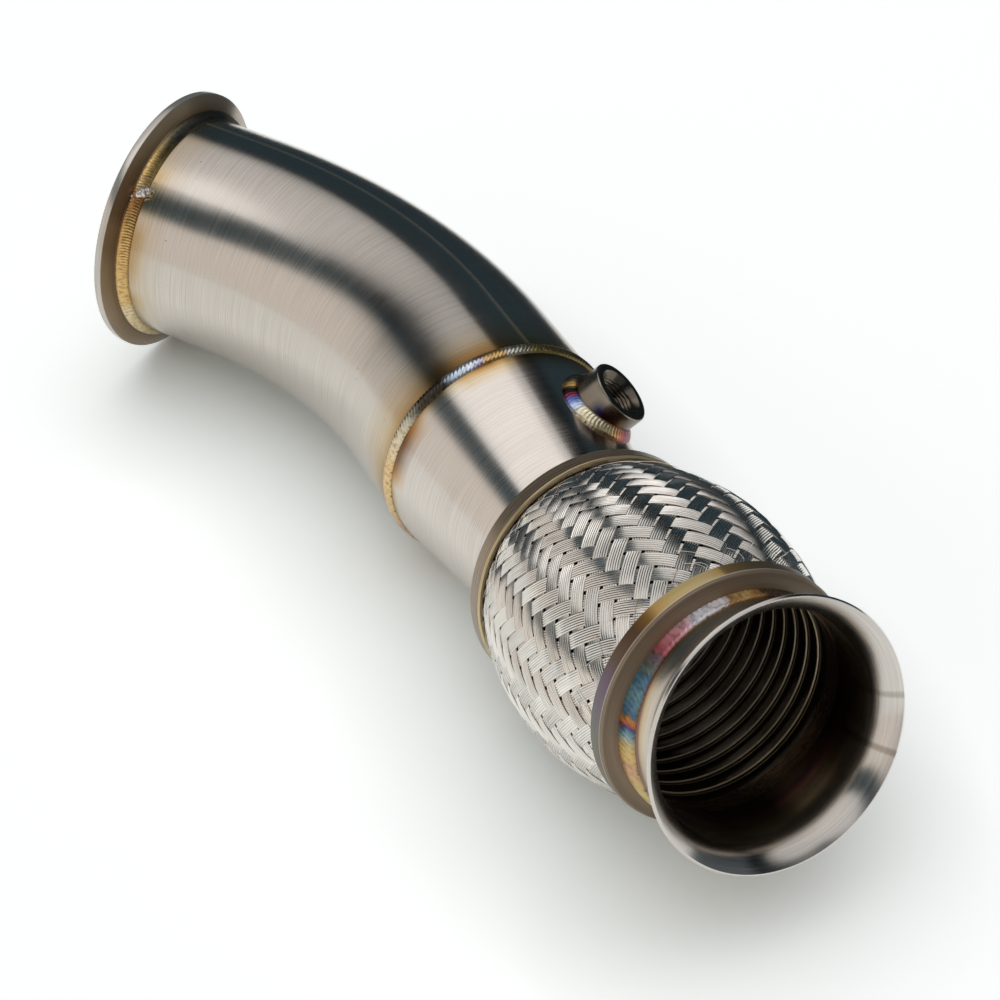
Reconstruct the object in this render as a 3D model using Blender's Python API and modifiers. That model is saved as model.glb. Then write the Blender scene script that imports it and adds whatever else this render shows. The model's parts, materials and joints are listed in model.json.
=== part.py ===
"""A stainless steel turbo downpipe: V-band flange, bend, cone, braided flex section and flared outlet.

Lengths are in metres and +Z is up. The pipe is modelled in a frame of its own, in which it runs along +X
from the weld between bend and cone. At the end it is laid on the floor as it would come to rest.
"""

import math

import bmesh
import bpy
import numpy as np
from mathutils import Matrix, Vector
from mathutils.bvhtree import BVHTree

# Clearance between pieces that touch, and how many flat sides a round piece has
GAP = 0.0003
SIDES = 36
INNER_SIDES = 24
BOSS_SIDES = 20
WELD_MERGE = 0.00001

# Bend: the tube, its radius and the straight runs at its two ends
TUBE_RADIUS = 0.0508
TUBE_WALL = 0.0016
BEND_RADIUS = 0.234
BEND_ANGLE = math.radians(35.0)
BEND_STEPS = 8
INLET_RUN = 0.041
TAIL_RUN = 0.042

# V-band flange: a hub that the tube butts against, and a rim with a sloped back for the clamp
FLANGE_THICKNESS = 0.007
HUB_STEP = 0.0032
RIM_STEP = 0.007
RIM_LAND = 0.0036
RIM_CHAMFER = 0.0004
CLAMP_SLOPE = math.radians(20.0)
REGISTER_STEP = 0.0027
REGISTER_DEPTH = 0.0015
FLANGE_BEAD_LENGTH = 0.0041

# Cone between the mid weld and the flex section, which leans up from it
CONE_LENGTH = 0.0805
CONE_END_RADIUS = 0.0381
CONE_WALL = 0.0016
FLEX_LEAN = math.radians(11.8)
MID_BEAD_WIDTH = 0.005
MID_BEAD_RISE = 0.0014
COLLAR_BEAD_LEG = 0.0042

# Shape of every bead, as shares of its width, leg or rise
BEAD_SHOULDER = 0.6
BEAD_SHOULDER_RISE = 0.75
FILLET_LOW = 0.4
FILLET_MIDDLE = 0.45
FILLET_HIGH = 0.85
FILLET_CROWN = 0.6
SADDLE_FULLNESS = 1.3

# Sensor bungs: one on the cone, one on the far side of the bend
BUNG_RADIUS = 0.014
BUNG_BORE = 0.0082
BUNG_MOUTH = 0.0106
BUNG_MOUTH_DEPTH = 0.0024
BUNG_HEIGHT = 0.0118
BUNG_CHAMFER = 0.0006
BUNG_BEAD_LEG = 0.0042
FRONT_BUNG_PLACE = 0.030
FRONT_BUNG_CLOCK = math.radians(37.6)
FRONT_BUNG_TILT = math.radians(17.0)
REAR_BUNG_ARC = 0.058
REAR_BUNG_CLOCK = math.radians(99.5)

# Layers of the flex section, from the bore outwards
LINER_BORE = 0.0441
LINER_WALL = 0.0018
LINER_TURNS = 13
LINER_STEP = 0.0009
LINER_SLOT = 0.0011
BELLOWS_WALL = 0.001
BELLOWS_WAVES = 7
BELLOWS_HEIGHT = 0.0062
BRAID_WALL = 0.0024
BRAID_BULGE = 0.0097
BRAID_FULLNESS = 0.8
FREE_LENGTH = 0.089

# Weave of the braid: strands each way, rows of crossings, and the clock at which its columns start
BRAID_STRANDS = 36
BRAID_ROWS = 22
BRAID_CLOCK = math.radians(-5.9)
BRAID_RELIEF = 0.0009
BRAID_LINING_STEP = 2

# Collars that hold the layers
COLLAR_WALL = 0.002
COLLAR_EDGE = 0.0006
COLLAR_PLATE = 0.002
UPPER_COLLAR_WIDTH = 0.008
UPPER_LIP_WIDTH = 0.002
UPPER_LIP_RISE = 0.0003
LOWER_COLLAR_WIDTH = 0.0072
SHOULDER_WALL = 0.002
SHOULDER_REACH = 0.0028
SHOULDER_GROOVE = 0.0006
LAYER_REACH = 0.0056

# Neck, outlet weld and flared outlet, which leans up once more
NECK_RADIUS = 0.0451
NECK_WALL = 0.0014
OUTLET_WELD_PLACE = 0.0134
OUTLET_BEAD_WIDTH = 0.006
OUTLET_BEAD_RISE = 0.0011
OUTLET_LEAN = math.radians(8.7)
OUTLET_LENGTH = 0.0283
OUTLET_WALL = 0.0016
FLARE_START = 0.0115
FLARE_RISE = 0.0077
FLARE_POWER = 3
FLARE_STEPS = 5

# Radii that follow from the layers
BELLOWS_BORE = LINER_BORE + LINER_WALL + GAP
BRAID_BORE = BELLOWS_BORE + BELLOWS_WALL + GAP
BRAID_END_RADIUS = BRAID_BORE + BRAID_WALL
SKIRT_BORE = BRAID_END_RADIUS + GAP
COLLAR_RADIUS = SKIRT_BORE + COLLAR_WALL

# Shading, and the steps in which the finished pipe settles on the floor
SHARP_ANGLE = math.radians(30.0)
SETTLING_TURNS = 20

# Finishes: base colour, roughness and metallic value
BRUSHED_STEEL = ("brushed_steel", (0.56, 0.53, 0.49, 1.0), 0.30, 1.0)
MACHINED_STEEL = ("machined_steel", (0.47, 0.42, 0.33, 1.0), 0.28, 1.0)
WELD_BEAD = ("weld_bead", (0.55, 0.42, 0.26, 1.0), 0.35, 1.0)
HEAT_TINTED_STEEL = ("heat_tinted_steel", (0.38, 0.29, 0.18, 1.0), 0.33, 1.0)
BRAIDED_WIRE = ("braided_wire", (0.66, 0.66, 0.65, 1.0), 0.36, 1.0)
DARK_STEEL = ("dark_steel", (0.20, 0.20, 0.19, 1.0), 0.40, 1.0)


def ahead(frame, distance):
    """The frame moved along its own axis, which is the pipe's."""
    return frame @ Matrix.Translation((0.0, 0.0, distance))


def lean(frame, up):
    """The frame tipped up by an angle."""
    return frame @ Matrix.Rotation(-up, 4, "X")


# A frame's X points left, its Y up and its Z along the pipe
MID = Matrix(((0, 0, 1, 0), (1, 0, 0, 0), (0, 1, 0, 0), (0, 0, 0, 1)))
BEND_END = ahead(MID, -TAIL_RUN)


def on_bend(angle):
    """The frame at an angle before the end of the bend, which turns about a centre on its right."""
    centre_to_pipe = BEND_RADIUS * (math.cos(angle) - 1.0)
    place = Matrix.Translation((centre_to_pipe, 0.0, -BEND_RADIUS * math.sin(angle)))
    return BEND_END @ place @ Matrix.Rotation(angle, 4, "Y")


FLANGE = ahead(on_bend(BEND_ANGLE), -INLET_RUN)
COLLAR = lean(ahead(MID, CONE_LENGTH), FLEX_LEAN)
LOWER_COLLAR = ahead(COLLAR, UPPER_COLLAR_WIDTH + FREE_LENGTH)
OUTLET_SEAM = ahead(LOWER_COLLAR, OUTLET_WELD_PLACE)
OUTLET = lean(OUTLET_SEAM, OUTLET_LEAN)


def clear_scene():
    for obj in list(bpy.data.objects):
        bpy.data.objects.remove(obj, do_unlink=True)


def new_collection(name):
    collection = bpy.data.collections.new(name)
    bpy.context.scene.collection.children.link(collection)
    return collection


def material_for(node, finish):
    """A node's own material, in one of the finishes."""
    finish_name, colour, roughness, metallic = finish
    material = bpy.data.materials.new(f"{node}_{finish_name}")
    material.use_nodes = True
    shader = material.node_tree.nodes["Principled BSDF"]
    shader.inputs["Base Color"].default_value = colour
    shader.inputs["Roughness"].default_value = roughness
    shader.inputs["Metallic"].default_value = metallic
    return material


class Workshop:
    """The collections and the empty that carries every piece."""

    def __init__(self):
        self.parts = new_collection("turbo_downpipe")
        self.cutters = new_collection("cutters")
        self.carrier = bpy.data.objects.new("pipe_frame", None)
        self.parts.objects.link(self.carrier)

    def part(self, name, mesh, frame, finish):
        obj = bpy.data.objects.new(name, mesh)
        mesh.materials.append(material_for(name, finish))
        obj.parent = self.carrier
        obj.matrix_basis = frame
        self.parts.objects.link(obj)
        return obj

    def cutter(self, name, mesh, frame):
        obj = bpy.data.objects.new(name, mesh)
        obj.parent = self.carrier
        obj.matrix_basis = frame
        obj.hide_render = True
        obj.display_type = "WIRE"
        self.cutters.objects.link(obj)
        return obj


def turned(shop, name, section, frame, finish, sides=SIDES):
    """A closed section of (radius, distance along) points, turned about the frame's axis.

    The points run down the outer side, from the far end to the near one, and back up the bore.
    """
    mesh = bpy.data.meshes.new(name)
    corners = [(radius, 0.0, along) for radius, along in section]
    edges = [(index, (index + 1) % len(corners)) for index in range(len(corners))]
    mesh.from_pydata(corners, edges, [])
    obj = shop.part(name, mesh, frame, finish)
    screw = obj.modifiers.new("turn", "SCREW")
    screw.steps = sides
    screw.render_steps = sides
    screw.use_merge_vertices = True
    screw.merge_threshold = WELD_MERGE
    return obj


def bridged(loops, closed):
    """Loops of points joined in order by Blender's bridge tool, the last to the first if closed."""
    shape = bmesh.new()
    edge_loops = []
    for points in loops:
        corners = [shape.verts.new(point) for point in points]
        pairs = zip(corners, corners[1:] + corners[:1])
        edge_loops.append([shape.edges.new(pair) for pair in pairs])
    followers = edge_loops[1:] + (edge_loops[:1] if closed else [])
    for near, far in zip(edge_loops, followers):
        bmesh.ops.bridge_loops(shape, edges=near + far)
    bmesh.ops.recalc_face_normals(shape, faces=shape.faces[:])
    return shape


def circle(frame, radius):
    """Points round the frame's axis."""
    turns = [math.tau * step / SIDES for step in range(SIDES)]
    return [frame @ Vector((radius * math.cos(turn), radius * math.sin(turn), 0.0)) for turn in turns]


def lofted(shop, name, rings, finish):
    """A closed wall through circles, each a frame and a radius, in planes that may lean."""
    shape = bridged([circle(frame, radius) for frame, radius in rings], closed=True)
    mesh = bpy.data.meshes.new(name)
    shape.to_mesh(mesh)
    shape.free()
    return shop.part(name, mesh, Matrix.Identity(4), finish)


def skin_of(rings):
    """The surface through circles, grown by the clearance, for measuring what lies on it."""
    shape = bridged([circle(frame, radius + GAP) for frame, radius in rings], closed=False)
    skin = BVHTree.FromBMesh(shape)
    shape.free()
    return skin


def tube_rings():
    """Frames and radius along the bend, from the flange's hub to the mid weld."""
    start = FLANGE_THICKNESS + GAP - INLET_RUN
    frames = [ahead(on_bend(BEND_ANGLE), start)]
    frames += [on_bend(BEND_ANGLE * (1.0 - step / BEND_STEPS)) for step in range(BEND_STEPS + 1)]
    frames.append(ahead(MID, -GAP / 2))
    return [(frame, TUBE_RADIUS) for frame in frames]


def on_cone(share):
    """The frame and radius at a share of the way along the cone."""
    radius = TUBE_RADIUS + share * (CONE_END_RADIUS - TUBE_RADIUS)
    return MID.lerp(COLLAR, share), radius


def cut_hole(shop, wall, boss, name, depth):
    """A clearance hole for a boss, through one side of a wall."""
    shape = bmesh.new()
    length = depth + BUNG_HEIGHT
    middle = Matrix.Translation((0.0, 0.0, (BUNG_HEIGHT - depth) / 2))
    size = {"radius1": BUNG_RADIUS + GAP, "radius2": BUNG_RADIUS + GAP, "depth": length}
    bmesh.ops.create_cone(shape, cap_ends=True, segments=BOSS_SIDES, matrix=middle, **size)
    mesh = bpy.data.meshes.new(name)
    shape.to_mesh(mesh)
    shape.free()
    hole = wall.modifiers.new(name, "BOOLEAN")
    hole.operation = "DIFFERENCE"
    hole.object = shop.cutter(name, mesh, boss)


def boss_on(skin, station, clock, tilt):
    """The frame of a boss on a skin, its Z pointing out. The clock turns from up towards left."""
    spoke = station @ Matrix.Rotation(-clock, 4, "Z")
    outward = spoke.to_3x3() @ Vector((0.0, 1.0, 0.0))
    place = skin.ray_cast(spoke.translation, outward)[0]
    turn = spoke.to_3x3().to_4x4() @ Matrix.Rotation(tilt - math.pi / 2, 4, "X")
    return Matrix.Translation(place) @ turn


def saddle_bead(shop, name, boss, skin):
    """A fillet bead round a boss, which follows the curved skin under it."""
    inner = BUNG_RADIUS + GAP
    down = boss.to_3x3() @ Vector((0.0, 0.0, -1.0))

    def on_skin(reach, turn):
        above = boss @ Vector((reach * math.cos(turn), reach * math.sin(turn), BUNG_HEIGHT))
        return skin.ray_cast(above, down)[0]

    sections = []
    for step in range(BOSS_SIDES):
        turn = math.tau * step / BOSS_SIDES
        root = on_skin(inner, turn)
        foot = on_skin(inner + BUNG_BEAD_LEG, turn)
        top = root - down * BUNG_BEAD_LEG
        crown = root.lerp((foot + top) / 2, SADDLE_FULLNESS)
        sections.append([root, foot, crown, top])
    shape = bridged(sections, closed=True)
    mesh = bpy.data.meshes.new(name)
    shape.to_mesh(mesh)
    shape.free()
    shop.part(name, mesh, Matrix.Identity(4), WELD_BEAD)


def make_flange(shop):
    hub = TUBE_RADIUS + HUB_STEP
    rim = hub + RIM_STEP
    bore = TUBE_RADIUS - TUBE_WALL
    slope_end = RIM_LAND + RIM_STEP * math.tan(CLAMP_SLOPE)
    section = [
        (hub, FLANGE_THICKNESS),
        (hub, slope_end),
        (rim, RIM_LAND),
        (rim, RIM_CHAMFER),
        (rim - RIM_CHAMFER, 0.0),
        (TUBE_RADIUS + REGISTER_STEP, 0.0),
        (TUBE_RADIUS + REGISTER_STEP, REGISTER_DEPTH),
        (bore, REGISTER_DEPTH),
        (bore, FLANGE_THICKNESS),
    ]
    return turned(shop, "inlet_vband_flange", section, FLANGE, MACHINED_STEEL)


def make_flange_weld(shop):
    """A fillet bead in the corner between the hub's end and the tube."""
    start = FLANGE_THICKNESS + GAP
    inner = TUBE_RADIUS + GAP
    top = TUBE_RADIUS + HUB_STEP
    end = start + FLANGE_BEAD_LENGTH
    section = [
        (inner, end),
        (inner + FILLET_LOW * (top - inner), start + FILLET_HIGH * FLANGE_BEAD_LENGTH),
        (inner + FILLET_HIGH * (top - inner), start + FILLET_MIDDLE * FLANGE_BEAD_LENGTH),
        (top, start),
        (inner, start),
    ]
    turned(shop, "inlet_flange_weld", section, FLANGE, WELD_BEAD)


def make_bend(shop):
    """The bent tube: a bevelled curve made a mesh, then given its wall inwards."""
    frames = [frame for frame, radius in tube_rings()]
    curve = bpy.data.curves.new("bend_route", "CURVE")
    curve.dimensions = "3D"
    curve.bevel_depth = TUBE_RADIUS
    curve.bevel_resolution = (SIDES - 4) // 2
    route = curve.splines.new("POLY")
    route.points.add(len(frames) - 1)
    for point, frame in zip(route.points, frames):
        point.co = (*frame.translation, 1.0)
    guide = bpy.data.objects.new("bend_route", curve)
    shop.parts.objects.link(guide)
    bpy.context.view_layer.update()
    mesh = bpy.data.meshes.new_from_object(guide.evaluated_get(bpy.context.evaluated_depsgraph_get()))
    place = guide.matrix_world.copy()
    bpy.data.objects.remove(guide, do_unlink=True)
    bpy.data.curves.remove(curve)
    mesh.name = "bend_pipe"
    bend = shop.part("bend_pipe", mesh, place, BRUSHED_STEEL)
    wall = bend.modifiers.new("wall", "SOLIDIFY")
    wall.thickness = TUBE_WALL
    wall.offset = -1.0
    return bend


def make_mid_weld(shop):
    """The butt bead between bend and cone, which follows the cone on its far side."""
    half = MID_BEAD_WIDTH / 2
    foot_frame, foot_radius = on_cone(half / CONE_LENGTH)
    shoulder = BEAD_SHOULDER * half
    shoulder_rise = BEAD_SHOULDER_RISE * MID_BEAD_RISE
    slope_frame, slope_radius = on_cone(shoulder / CONE_LENGTH)
    rings = [
        (ahead(MID, -half), TUBE_RADIUS + GAP),
        (ahead(MID, -shoulder), TUBE_RADIUS + shoulder_rise),
        (MID, TUBE_RADIUS + MID_BEAD_RISE),
        (slope_frame, slope_radius + shoulder_rise),
        (foot_frame, foot_radius + GAP),
        (MID, TUBE_RADIUS + GAP),
    ]
    return lofted(shop, "mid_weld", rings, WELD_BEAD)


def make_cone(shop):
    start = ahead(MID, GAP / 2)
    end = ahead(COLLAR, -GAP)
    rings = [
        (start, TUBE_RADIUS),
        (end, CONE_END_RADIUS),
        (end, CONE_END_RADIUS - CONE_WALL),
        (start, TUBE_RADIUS - CONE_WALL),
    ]
    return lofted(shop, "transition_cone", rings, BRUSHED_STEEL)


def make_collar_weld(shop):
    """The fillet bead between the cone's end and the upper collar's plate."""
    face = ahead(COLLAR, -GAP)
    foot_frame, foot_radius = on_cone(1.0 - COLLAR_BEAD_LEG / CONE_LENGTH)
    crown = FILLET_CROWN * COLLAR_BEAD_LEG
    crown_frame, crown_radius = on_cone(1.0 - crown / CONE_LENGTH)
    rings = [
        (face, CONE_END_RADIUS + GAP),
        (face, CONE_END_RADIUS + GAP + COLLAR_BEAD_LEG),
        (crown_frame, crown_radius + GAP + crown),
        (foot_frame, foot_radius + GAP),
    ]
    lofted(shop, "upper_collar_weld", rings, WELD_BEAD)


def make_bung(shop, name, boss, wall_radius, wall, wall_thickness):
    """A threaded boss, deep enough to fill its hole in the curved wall all the way round."""
    drop = wall_radius - math.sqrt(wall_radius**2 - BUNG_RADIUS**2)
    depth = wall_thickness + drop + GAP
    section = [
        (BUNG_RADIUS - BUNG_CHAMFER, BUNG_HEIGHT),
        (BUNG_RADIUS, BUNG_HEIGHT - BUNG_CHAMFER),
        (BUNG_RADIUS, -depth),
        (BUNG_BORE, -depth),
        (BUNG_BORE, BUNG_HEIGHT - BUNG_MOUTH_DEPTH),
        (BUNG_MOUTH, BUNG_HEIGHT),
    ]
    turned(shop, name, section, boss, DARK_STEEL, BOSS_SIDES)
    cut_hole(shop, wall, boss, f"{name}_hole", depth + BUNG_RADIUS)


def make_bungs(shop, bend, cone):
    skin = skin_of([on_cone(0.0), on_cone(1.0)])
    station = ahead(MID, FRONT_BUNG_PLACE)
    boss = boss_on(skin, station, FRONT_BUNG_CLOCK, FRONT_BUNG_TILT)
    radius = on_cone(FRONT_BUNG_PLACE / CONE_LENGTH)[1]
    make_bung(shop, "front_sensor_bung", boss, radius, cone, CONE_WALL)
    saddle_bead(shop, "front_bung_weld", boss, skin)

    skin = skin_of(tube_rings())
    boss = boss_on(skin, on_bend(REAR_BUNG_ARC / BEND_RADIUS), REAR_BUNG_CLOCK, 0.0)
    make_bung(shop, "rear_sensor_bung", boss, TUBE_RADIUS, bend, TUBE_WALL)
    saddle_bead(shop, "rear_bung_weld", boss, skin)


def make_upper_collar(shop):
    """A cup whose plate takes the cone and whose skirt holds the layers. Its rolled lip is a little proud."""
    lip = COLLAR_RADIUS + UPPER_LIP_RISE
    band_end = UPPER_COLLAR_WIDTH - UPPER_LIP_WIDTH
    bore = CONE_END_RADIUS - CONE_WALL
    section = [
        (COLLAR_RADIUS - COLLAR_EDGE, UPPER_COLLAR_WIDTH),
        (lip, UPPER_COLLAR_WIDTH - COLLAR_EDGE),
        (lip, band_end + UPPER_LIP_RISE),
        (COLLAR_RADIUS, band_end),
        (COLLAR_RADIUS, COLLAR_EDGE),
        (COLLAR_RADIUS - COLLAR_EDGE, 0.0),
        (bore, 0.0),
        (bore, COLLAR_PLATE),
        (SKIRT_BORE, COLLAR_PLATE),
        (SKIRT_BORE, UPPER_COLLAR_WIDTH),
    ]
    return turned(shop, "upper_collar", section, COLLAR, HEAT_TINTED_STEEL)


def make_lower_collar(shop):
    """A skirt round the layers, a fine groove, and a conical shoulder down to the neck."""
    hole = NECK_RADIUS + GAP
    groove_end = LOWER_COLLAR_WIDTH + SHOULDER_GROOVE
    section = [
        (hole, LOWER_COLLAR_WIDTH + SHOULDER_REACH),
        (COLLAR_RADIUS - SHOULDER_GROOVE, groove_end),
        (COLLAR_RADIUS - SHOULDER_GROOVE, LOWER_COLLAR_WIDTH),
        (COLLAR_RADIUS, LOWER_COLLAR_WIDTH - SHOULDER_GROOVE),
        (COLLAR_RADIUS, COLLAR_EDGE),
        (COLLAR_RADIUS - COLLAR_EDGE, 0.0),
        (SKIRT_BORE, 0.0),
        (SKIRT_BORE, groove_end - SHOULDER_WALL),
        (hole, LOWER_COLLAR_WIDTH + SHOULDER_REACH - SHOULDER_WALL),
    ]
    turned(shop, "lower_collar", section, LOWER_COLLAR, HEAT_TINTED_STEEL)


def layer_start():
    """Where the layers begin, in the upper collar's frame: just clear of its plate."""
    return COLLAR_PLATE + GAP


def layer_end():
    """Where the layers end, inside the lower collar."""
    return UPPER_COLLAR_WIDTH + FREE_LENGTH + LAYER_REACH


def barrel(share):
    """The braid's outer radius at a share of its free length, full in the middle."""
    return BRAID_END_RADIUS + BRAID_BULGE * math.sin(math.pi * share) ** BRAID_FULLNESS


def braid_point(column, row, radius):
    """A place in the weave: columns go round by half a strand, rows go along by half a crossing."""
    clock = BRAID_CLOCK + math.pi * column / BRAID_STRANDS
    along = UPPER_COLLAR_WIDTH + FREE_LENGTH * row / BRAID_ROWS
    return Vector((radius * math.sin(clock), radius * math.cos(clock), along))


class Weave:
    """The braid's outer face: floats of both ways, each raised over two crossings, share their corners."""

    def __init__(self, shape):
        self.shape = shape
        self.corners = {}

    def corner(self, column, row):
        """A corner between floats, which lies low except at the braid's ends."""
        key = (column % (2 * BRAID_STRANDS), row)
        if key not in self.corners:
            relief = BRAID_RELIEF if 0 < row < BRAID_ROWS else 0.0
            radius = barrel(row / BRAID_ROWS) - relief
            self.corners[key] = self.shape.verts.new(braid_point(column, row, radius))
        return self.corners[key]

    def crown(self, column, row):
        return self.shape.verts.new(braid_point(column, row, barrel(row / BRAID_ROWS)))

    def lay_float(self, column, row, way):
        """One float from the crossing at column and row to the next crossing its own way."""
        outline = [
            (column - 1, row),
            (column, row - way),
            (column + 1, row),
            (column + 2, row + way),
            (column + 1, row + 2 * way),
            (column, row + way),
        ]
        inside = [self.corner(*place) for place in outline if 0 <= place[1] <= BRAID_ROWS]
        if len(inside) < 3:
            return
        if len(inside) < len(outline):
            self.shape.faces.new(inside)
            return
        first = self.crown(column, row)
        second = self.crown(column + 1, row + way)
        west, near, east, far_east, far, side = inside
        for corners in (
            (west, near, first),
            (near, east, first),
            (east, second, first),
            (east, far_east, second),
            (far_east, far, second),
            (far, side, second),
            (side, first, second),
            (side, west, first),
        ):
            self.shape.faces.new(corners)

    def first_end(self):
        """The edges round the near end, between every second corner."""
        columns = range(0, 2 * BRAID_STRANDS, 2)
        pairs = [(self.corner(column, 0), self.corner(column + 2, 0)) for column in columns]
        return [self.shape.edges.get(pair) for pair in pairs]


def drawn_out(shape, edges, radius, along):
    """A ring of edges extruded, with its new corners set at a radius and a distance along."""
    made = bmesh.ops.extrude_edge_only(shape, edges=edges)["geom"]
    corners = {item for item in made if isinstance(item, bmesh.types.BMVert)}
    for corner in corners:
        spoke = corner.co.to_2d().normalized() * radius
        corner.co = (spoke.x, spoke.y, along)
    return [edge for edge in shape.edges if edge.verts[0] in corners and edge.verts[1] in corners]


def make_braid(shop):
    """The woven barrel, whose near end is drawn out under the collar and then back along as the lining."""
    shape = bmesh.new()
    weave = Weave(shape)
    for column in range(0, 2 * BRAID_STRANDS, 4):
        for row in range(-2, BRAID_ROWS + 3, 2):
            weave.lay_float(column + 1, row, 1)
            weave.lay_float(column + 3, row, -1)
    stops = [(BRAID_END_RADIUS, layer_start()), (BRAID_BORE, layer_start())]
    for row in range(0, BRAID_ROWS + 1, BRAID_LINING_STEP):
        share = row / BRAID_ROWS
        stops.append((barrel(share) - BRAID_WALL, UPPER_COLLAR_WIDTH + share * FREE_LENGTH))
    stops += [(BRAID_BORE, layer_end()), (BRAID_END_RADIUS, layer_end())]
    stops.append((BRAID_END_RADIUS, UPPER_COLLAR_WIDTH + FREE_LENGTH))
    edges = weave.first_end()
    for radius, along in stops:
        edges = drawn_out(shape, edges, radius, along)
    bmesh.ops.remove_doubles(shape, verts=shape.verts[:], dist=WELD_MERGE)
    bmesh.ops.recalc_face_normals(shape, faces=shape.faces[:])
    mesh = bpy.data.meshes.new("flex_braid")
    shape.to_mesh(mesh)
    shape.free()
    return shop.part("flex_braid", mesh, COLLAR, BRAIDED_WIRE)


def make_bellows(shop):
    """Thin waves between liner and braid, each crest held clear of the braid round it."""
    pitch = FREE_LENGTH / BELLOWS_WAVES
    points = [(BELLOWS_BORE, layer_start()), (BELLOWS_BORE, UPPER_COLLAR_WIDTH)]
    for wave in range(BELLOWS_WAVES):
        crest = (wave + 0.5) * pitch
        room = barrel(crest / FREE_LENGTH) - BRAID_WALL - BELLOWS_WALL - 2 * GAP
        height = min(room, BELLOWS_BORE + BELLOWS_HEIGHT)
        points.append((height, UPPER_COLLAR_WIDTH + crest))
        points.append((BELLOWS_BORE, UPPER_COLLAR_WIDTH + crest + pitch / 2))
    points.append((BELLOWS_BORE, layer_end()))
    outer = [(radius + BELLOWS_WALL, along) for radius, along in points]
    turned(shop, "flex_bellows", outer[::-1] + points, COLLAR, BRUSHED_STEEL, INNER_SIDES)


def make_liner(shop):
    """An interlocked strip: each turn widens a little towards the outlet, then steps in to the next one."""
    start = layer_start()
    end = layer_end()
    pitch = (end - start) / LINER_TURNS
    bore = []
    for turn in range(LINER_TURNS):
        bore.append((LINER_BORE, start + turn * pitch))
        bore.append((LINER_BORE + LINER_STEP, start + (turn + 1) * pitch - LINER_SLOT))
    bore.append((LINER_BORE, end))
    outer = [(LINER_BORE + LINER_WALL, end), (LINER_BORE + LINER_WALL, start)]
    turned(shop, "flex_liner", outer + bore, COLLAR, DARK_STEEL, INNER_SIDES)


def make_neck(shop):
    start = LAYER_REACH + GAP
    end = OUTLET_WELD_PLACE - GAP / 2
    inner = NECK_RADIUS - NECK_WALL
    section = [(NECK_RADIUS, end), (NECK_RADIUS, start), (inner, start), (inner, end)]
    turned(shop, "lower_sleeve", section, LOWER_COLLAR, HEAT_TINTED_STEEL)


def make_outlet_weld(shop):
    """The bead between neck and outlet. Its far side leans with the outlet."""
    half = OUTLET_BEAD_WIDTH / 2
    far = ahead(OUTLET, FLARE_START)
    foot = OUTLET_SEAM.lerp(far, half / FLARE_START)
    shoulder = BEAD_SHOULDER * half
    shoulder_radius = NECK_RADIUS + BEAD_SHOULDER_RISE * OUTLET_BEAD_RISE
    slope = OUTLET_SEAM.lerp(far, shoulder / FLARE_START)
    rings = [
        (ahead(OUTLET_SEAM, -half), NECK_RADIUS + GAP),
        (ahead(OUTLET_SEAM, -shoulder), shoulder_radius),
        (OUTLET_SEAM, NECK_RADIUS + OUTLET_BEAD_RISE),
        (slope, shoulder_radius),
        (foot, NECK_RADIUS + GAP),
        (OUTLET_SEAM, NECK_RADIUS + GAP),
    ]
    lofted(shop, "outlet_weld", rings, WELD_BEAD)


def make_outlet(shop):
    """The flared outlet. Its wall keeps its thickness round the flare's curve."""
    outer = [(ahead(OUTLET_SEAM, GAP / 2), NECK_RADIUS)]
    inner = [(ahead(OUTLET_SEAM, GAP / 2), NECK_RADIUS - OUTLET_WALL)]
    span = OUTLET_LENGTH - FLARE_START
    for step in range(FLARE_STEPS + 1):
        share = step / FLARE_STEPS
        along = FLARE_START + share * span
        radius = NECK_RADIUS + FLARE_RISE * share**FLARE_POWER
        slope = math.atan(FLARE_POWER * FLARE_RISE * share ** (FLARE_POWER - 1) / span)
        outer.append((ahead(OUTLET, along), radius))
        back = along + OUTLET_WALL * math.sin(slope)
        inner.append((ahead(OUTLET, back), radius - OUTLET_WALL * math.cos(slope)))
    lofted(shop, "outlet_flare", outer + inner[::-1], BRUSHED_STEEL)


def bake(parts):
    """Apply every modifier, then shade the pieces smooth with sharp corners."""
    bpy.context.view_layer.update()
    graph = bpy.context.evaluated_depsgraph_get()
    meshes = [bpy.data.meshes.new_from_object(part.evaluated_get(graph)) for part in parts]
    for part, mesh in zip(parts, meshes):
        part.modifiers.clear()
        part.data = mesh
        mesh.name = part.name
        mesh.shade_smooth()
        mesh.set_sharp_from_angle(angle=SHARP_ANGLE)


def corners_of(part):
    """Every corner of a piece, in the pipe's frame."""
    points = np.empty(len(part.data.vertices) * 3, np.float32)
    part.data.vertices.foreach_get("co", points)
    frame = np.array(part.matrix_basis)
    return points.reshape(-1, 3) @ frame[:3, :3].T + frame[:3, 3]


def lie_down(carrier, parts, feet):
    """Turn the pipe until its three feet stand on the floor, under the middle of its box.

    A foot is a list of pieces, whose lowest corner touches first.
    """
    foot_corners = [np.concatenate([corners_of(piece) for piece in foot]) for foot in feet]
    turn = Matrix.Identity(3)
    for _ in range(SETTLING_TURNS):
        lowest = []
        for corners in foot_corners:
            settled = corners @ np.array(turn).T
            lowest.append(Vector(settled[settled[:, 2].argmin()]))
        upward = (lowest[1] - lowest[0]).cross(lowest[2] - lowest[0])
        if upward.z < 0:
            upward.negate()
        turn = upward.rotation_difference(Vector((0.0, 0.0, 1.0))).to_matrix() @ turn
    corners = np.concatenate([corners_of(part) for part in parts]) @ np.array(turn).T
    low = corners.min(axis=0)
    high = corners.max(axis=0)
    middle = (low + high) / 2
    carrier.matrix_basis = Matrix.Translation((-middle[0], -middle[1], -low[2])) @ turn.to_4x4()


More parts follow.
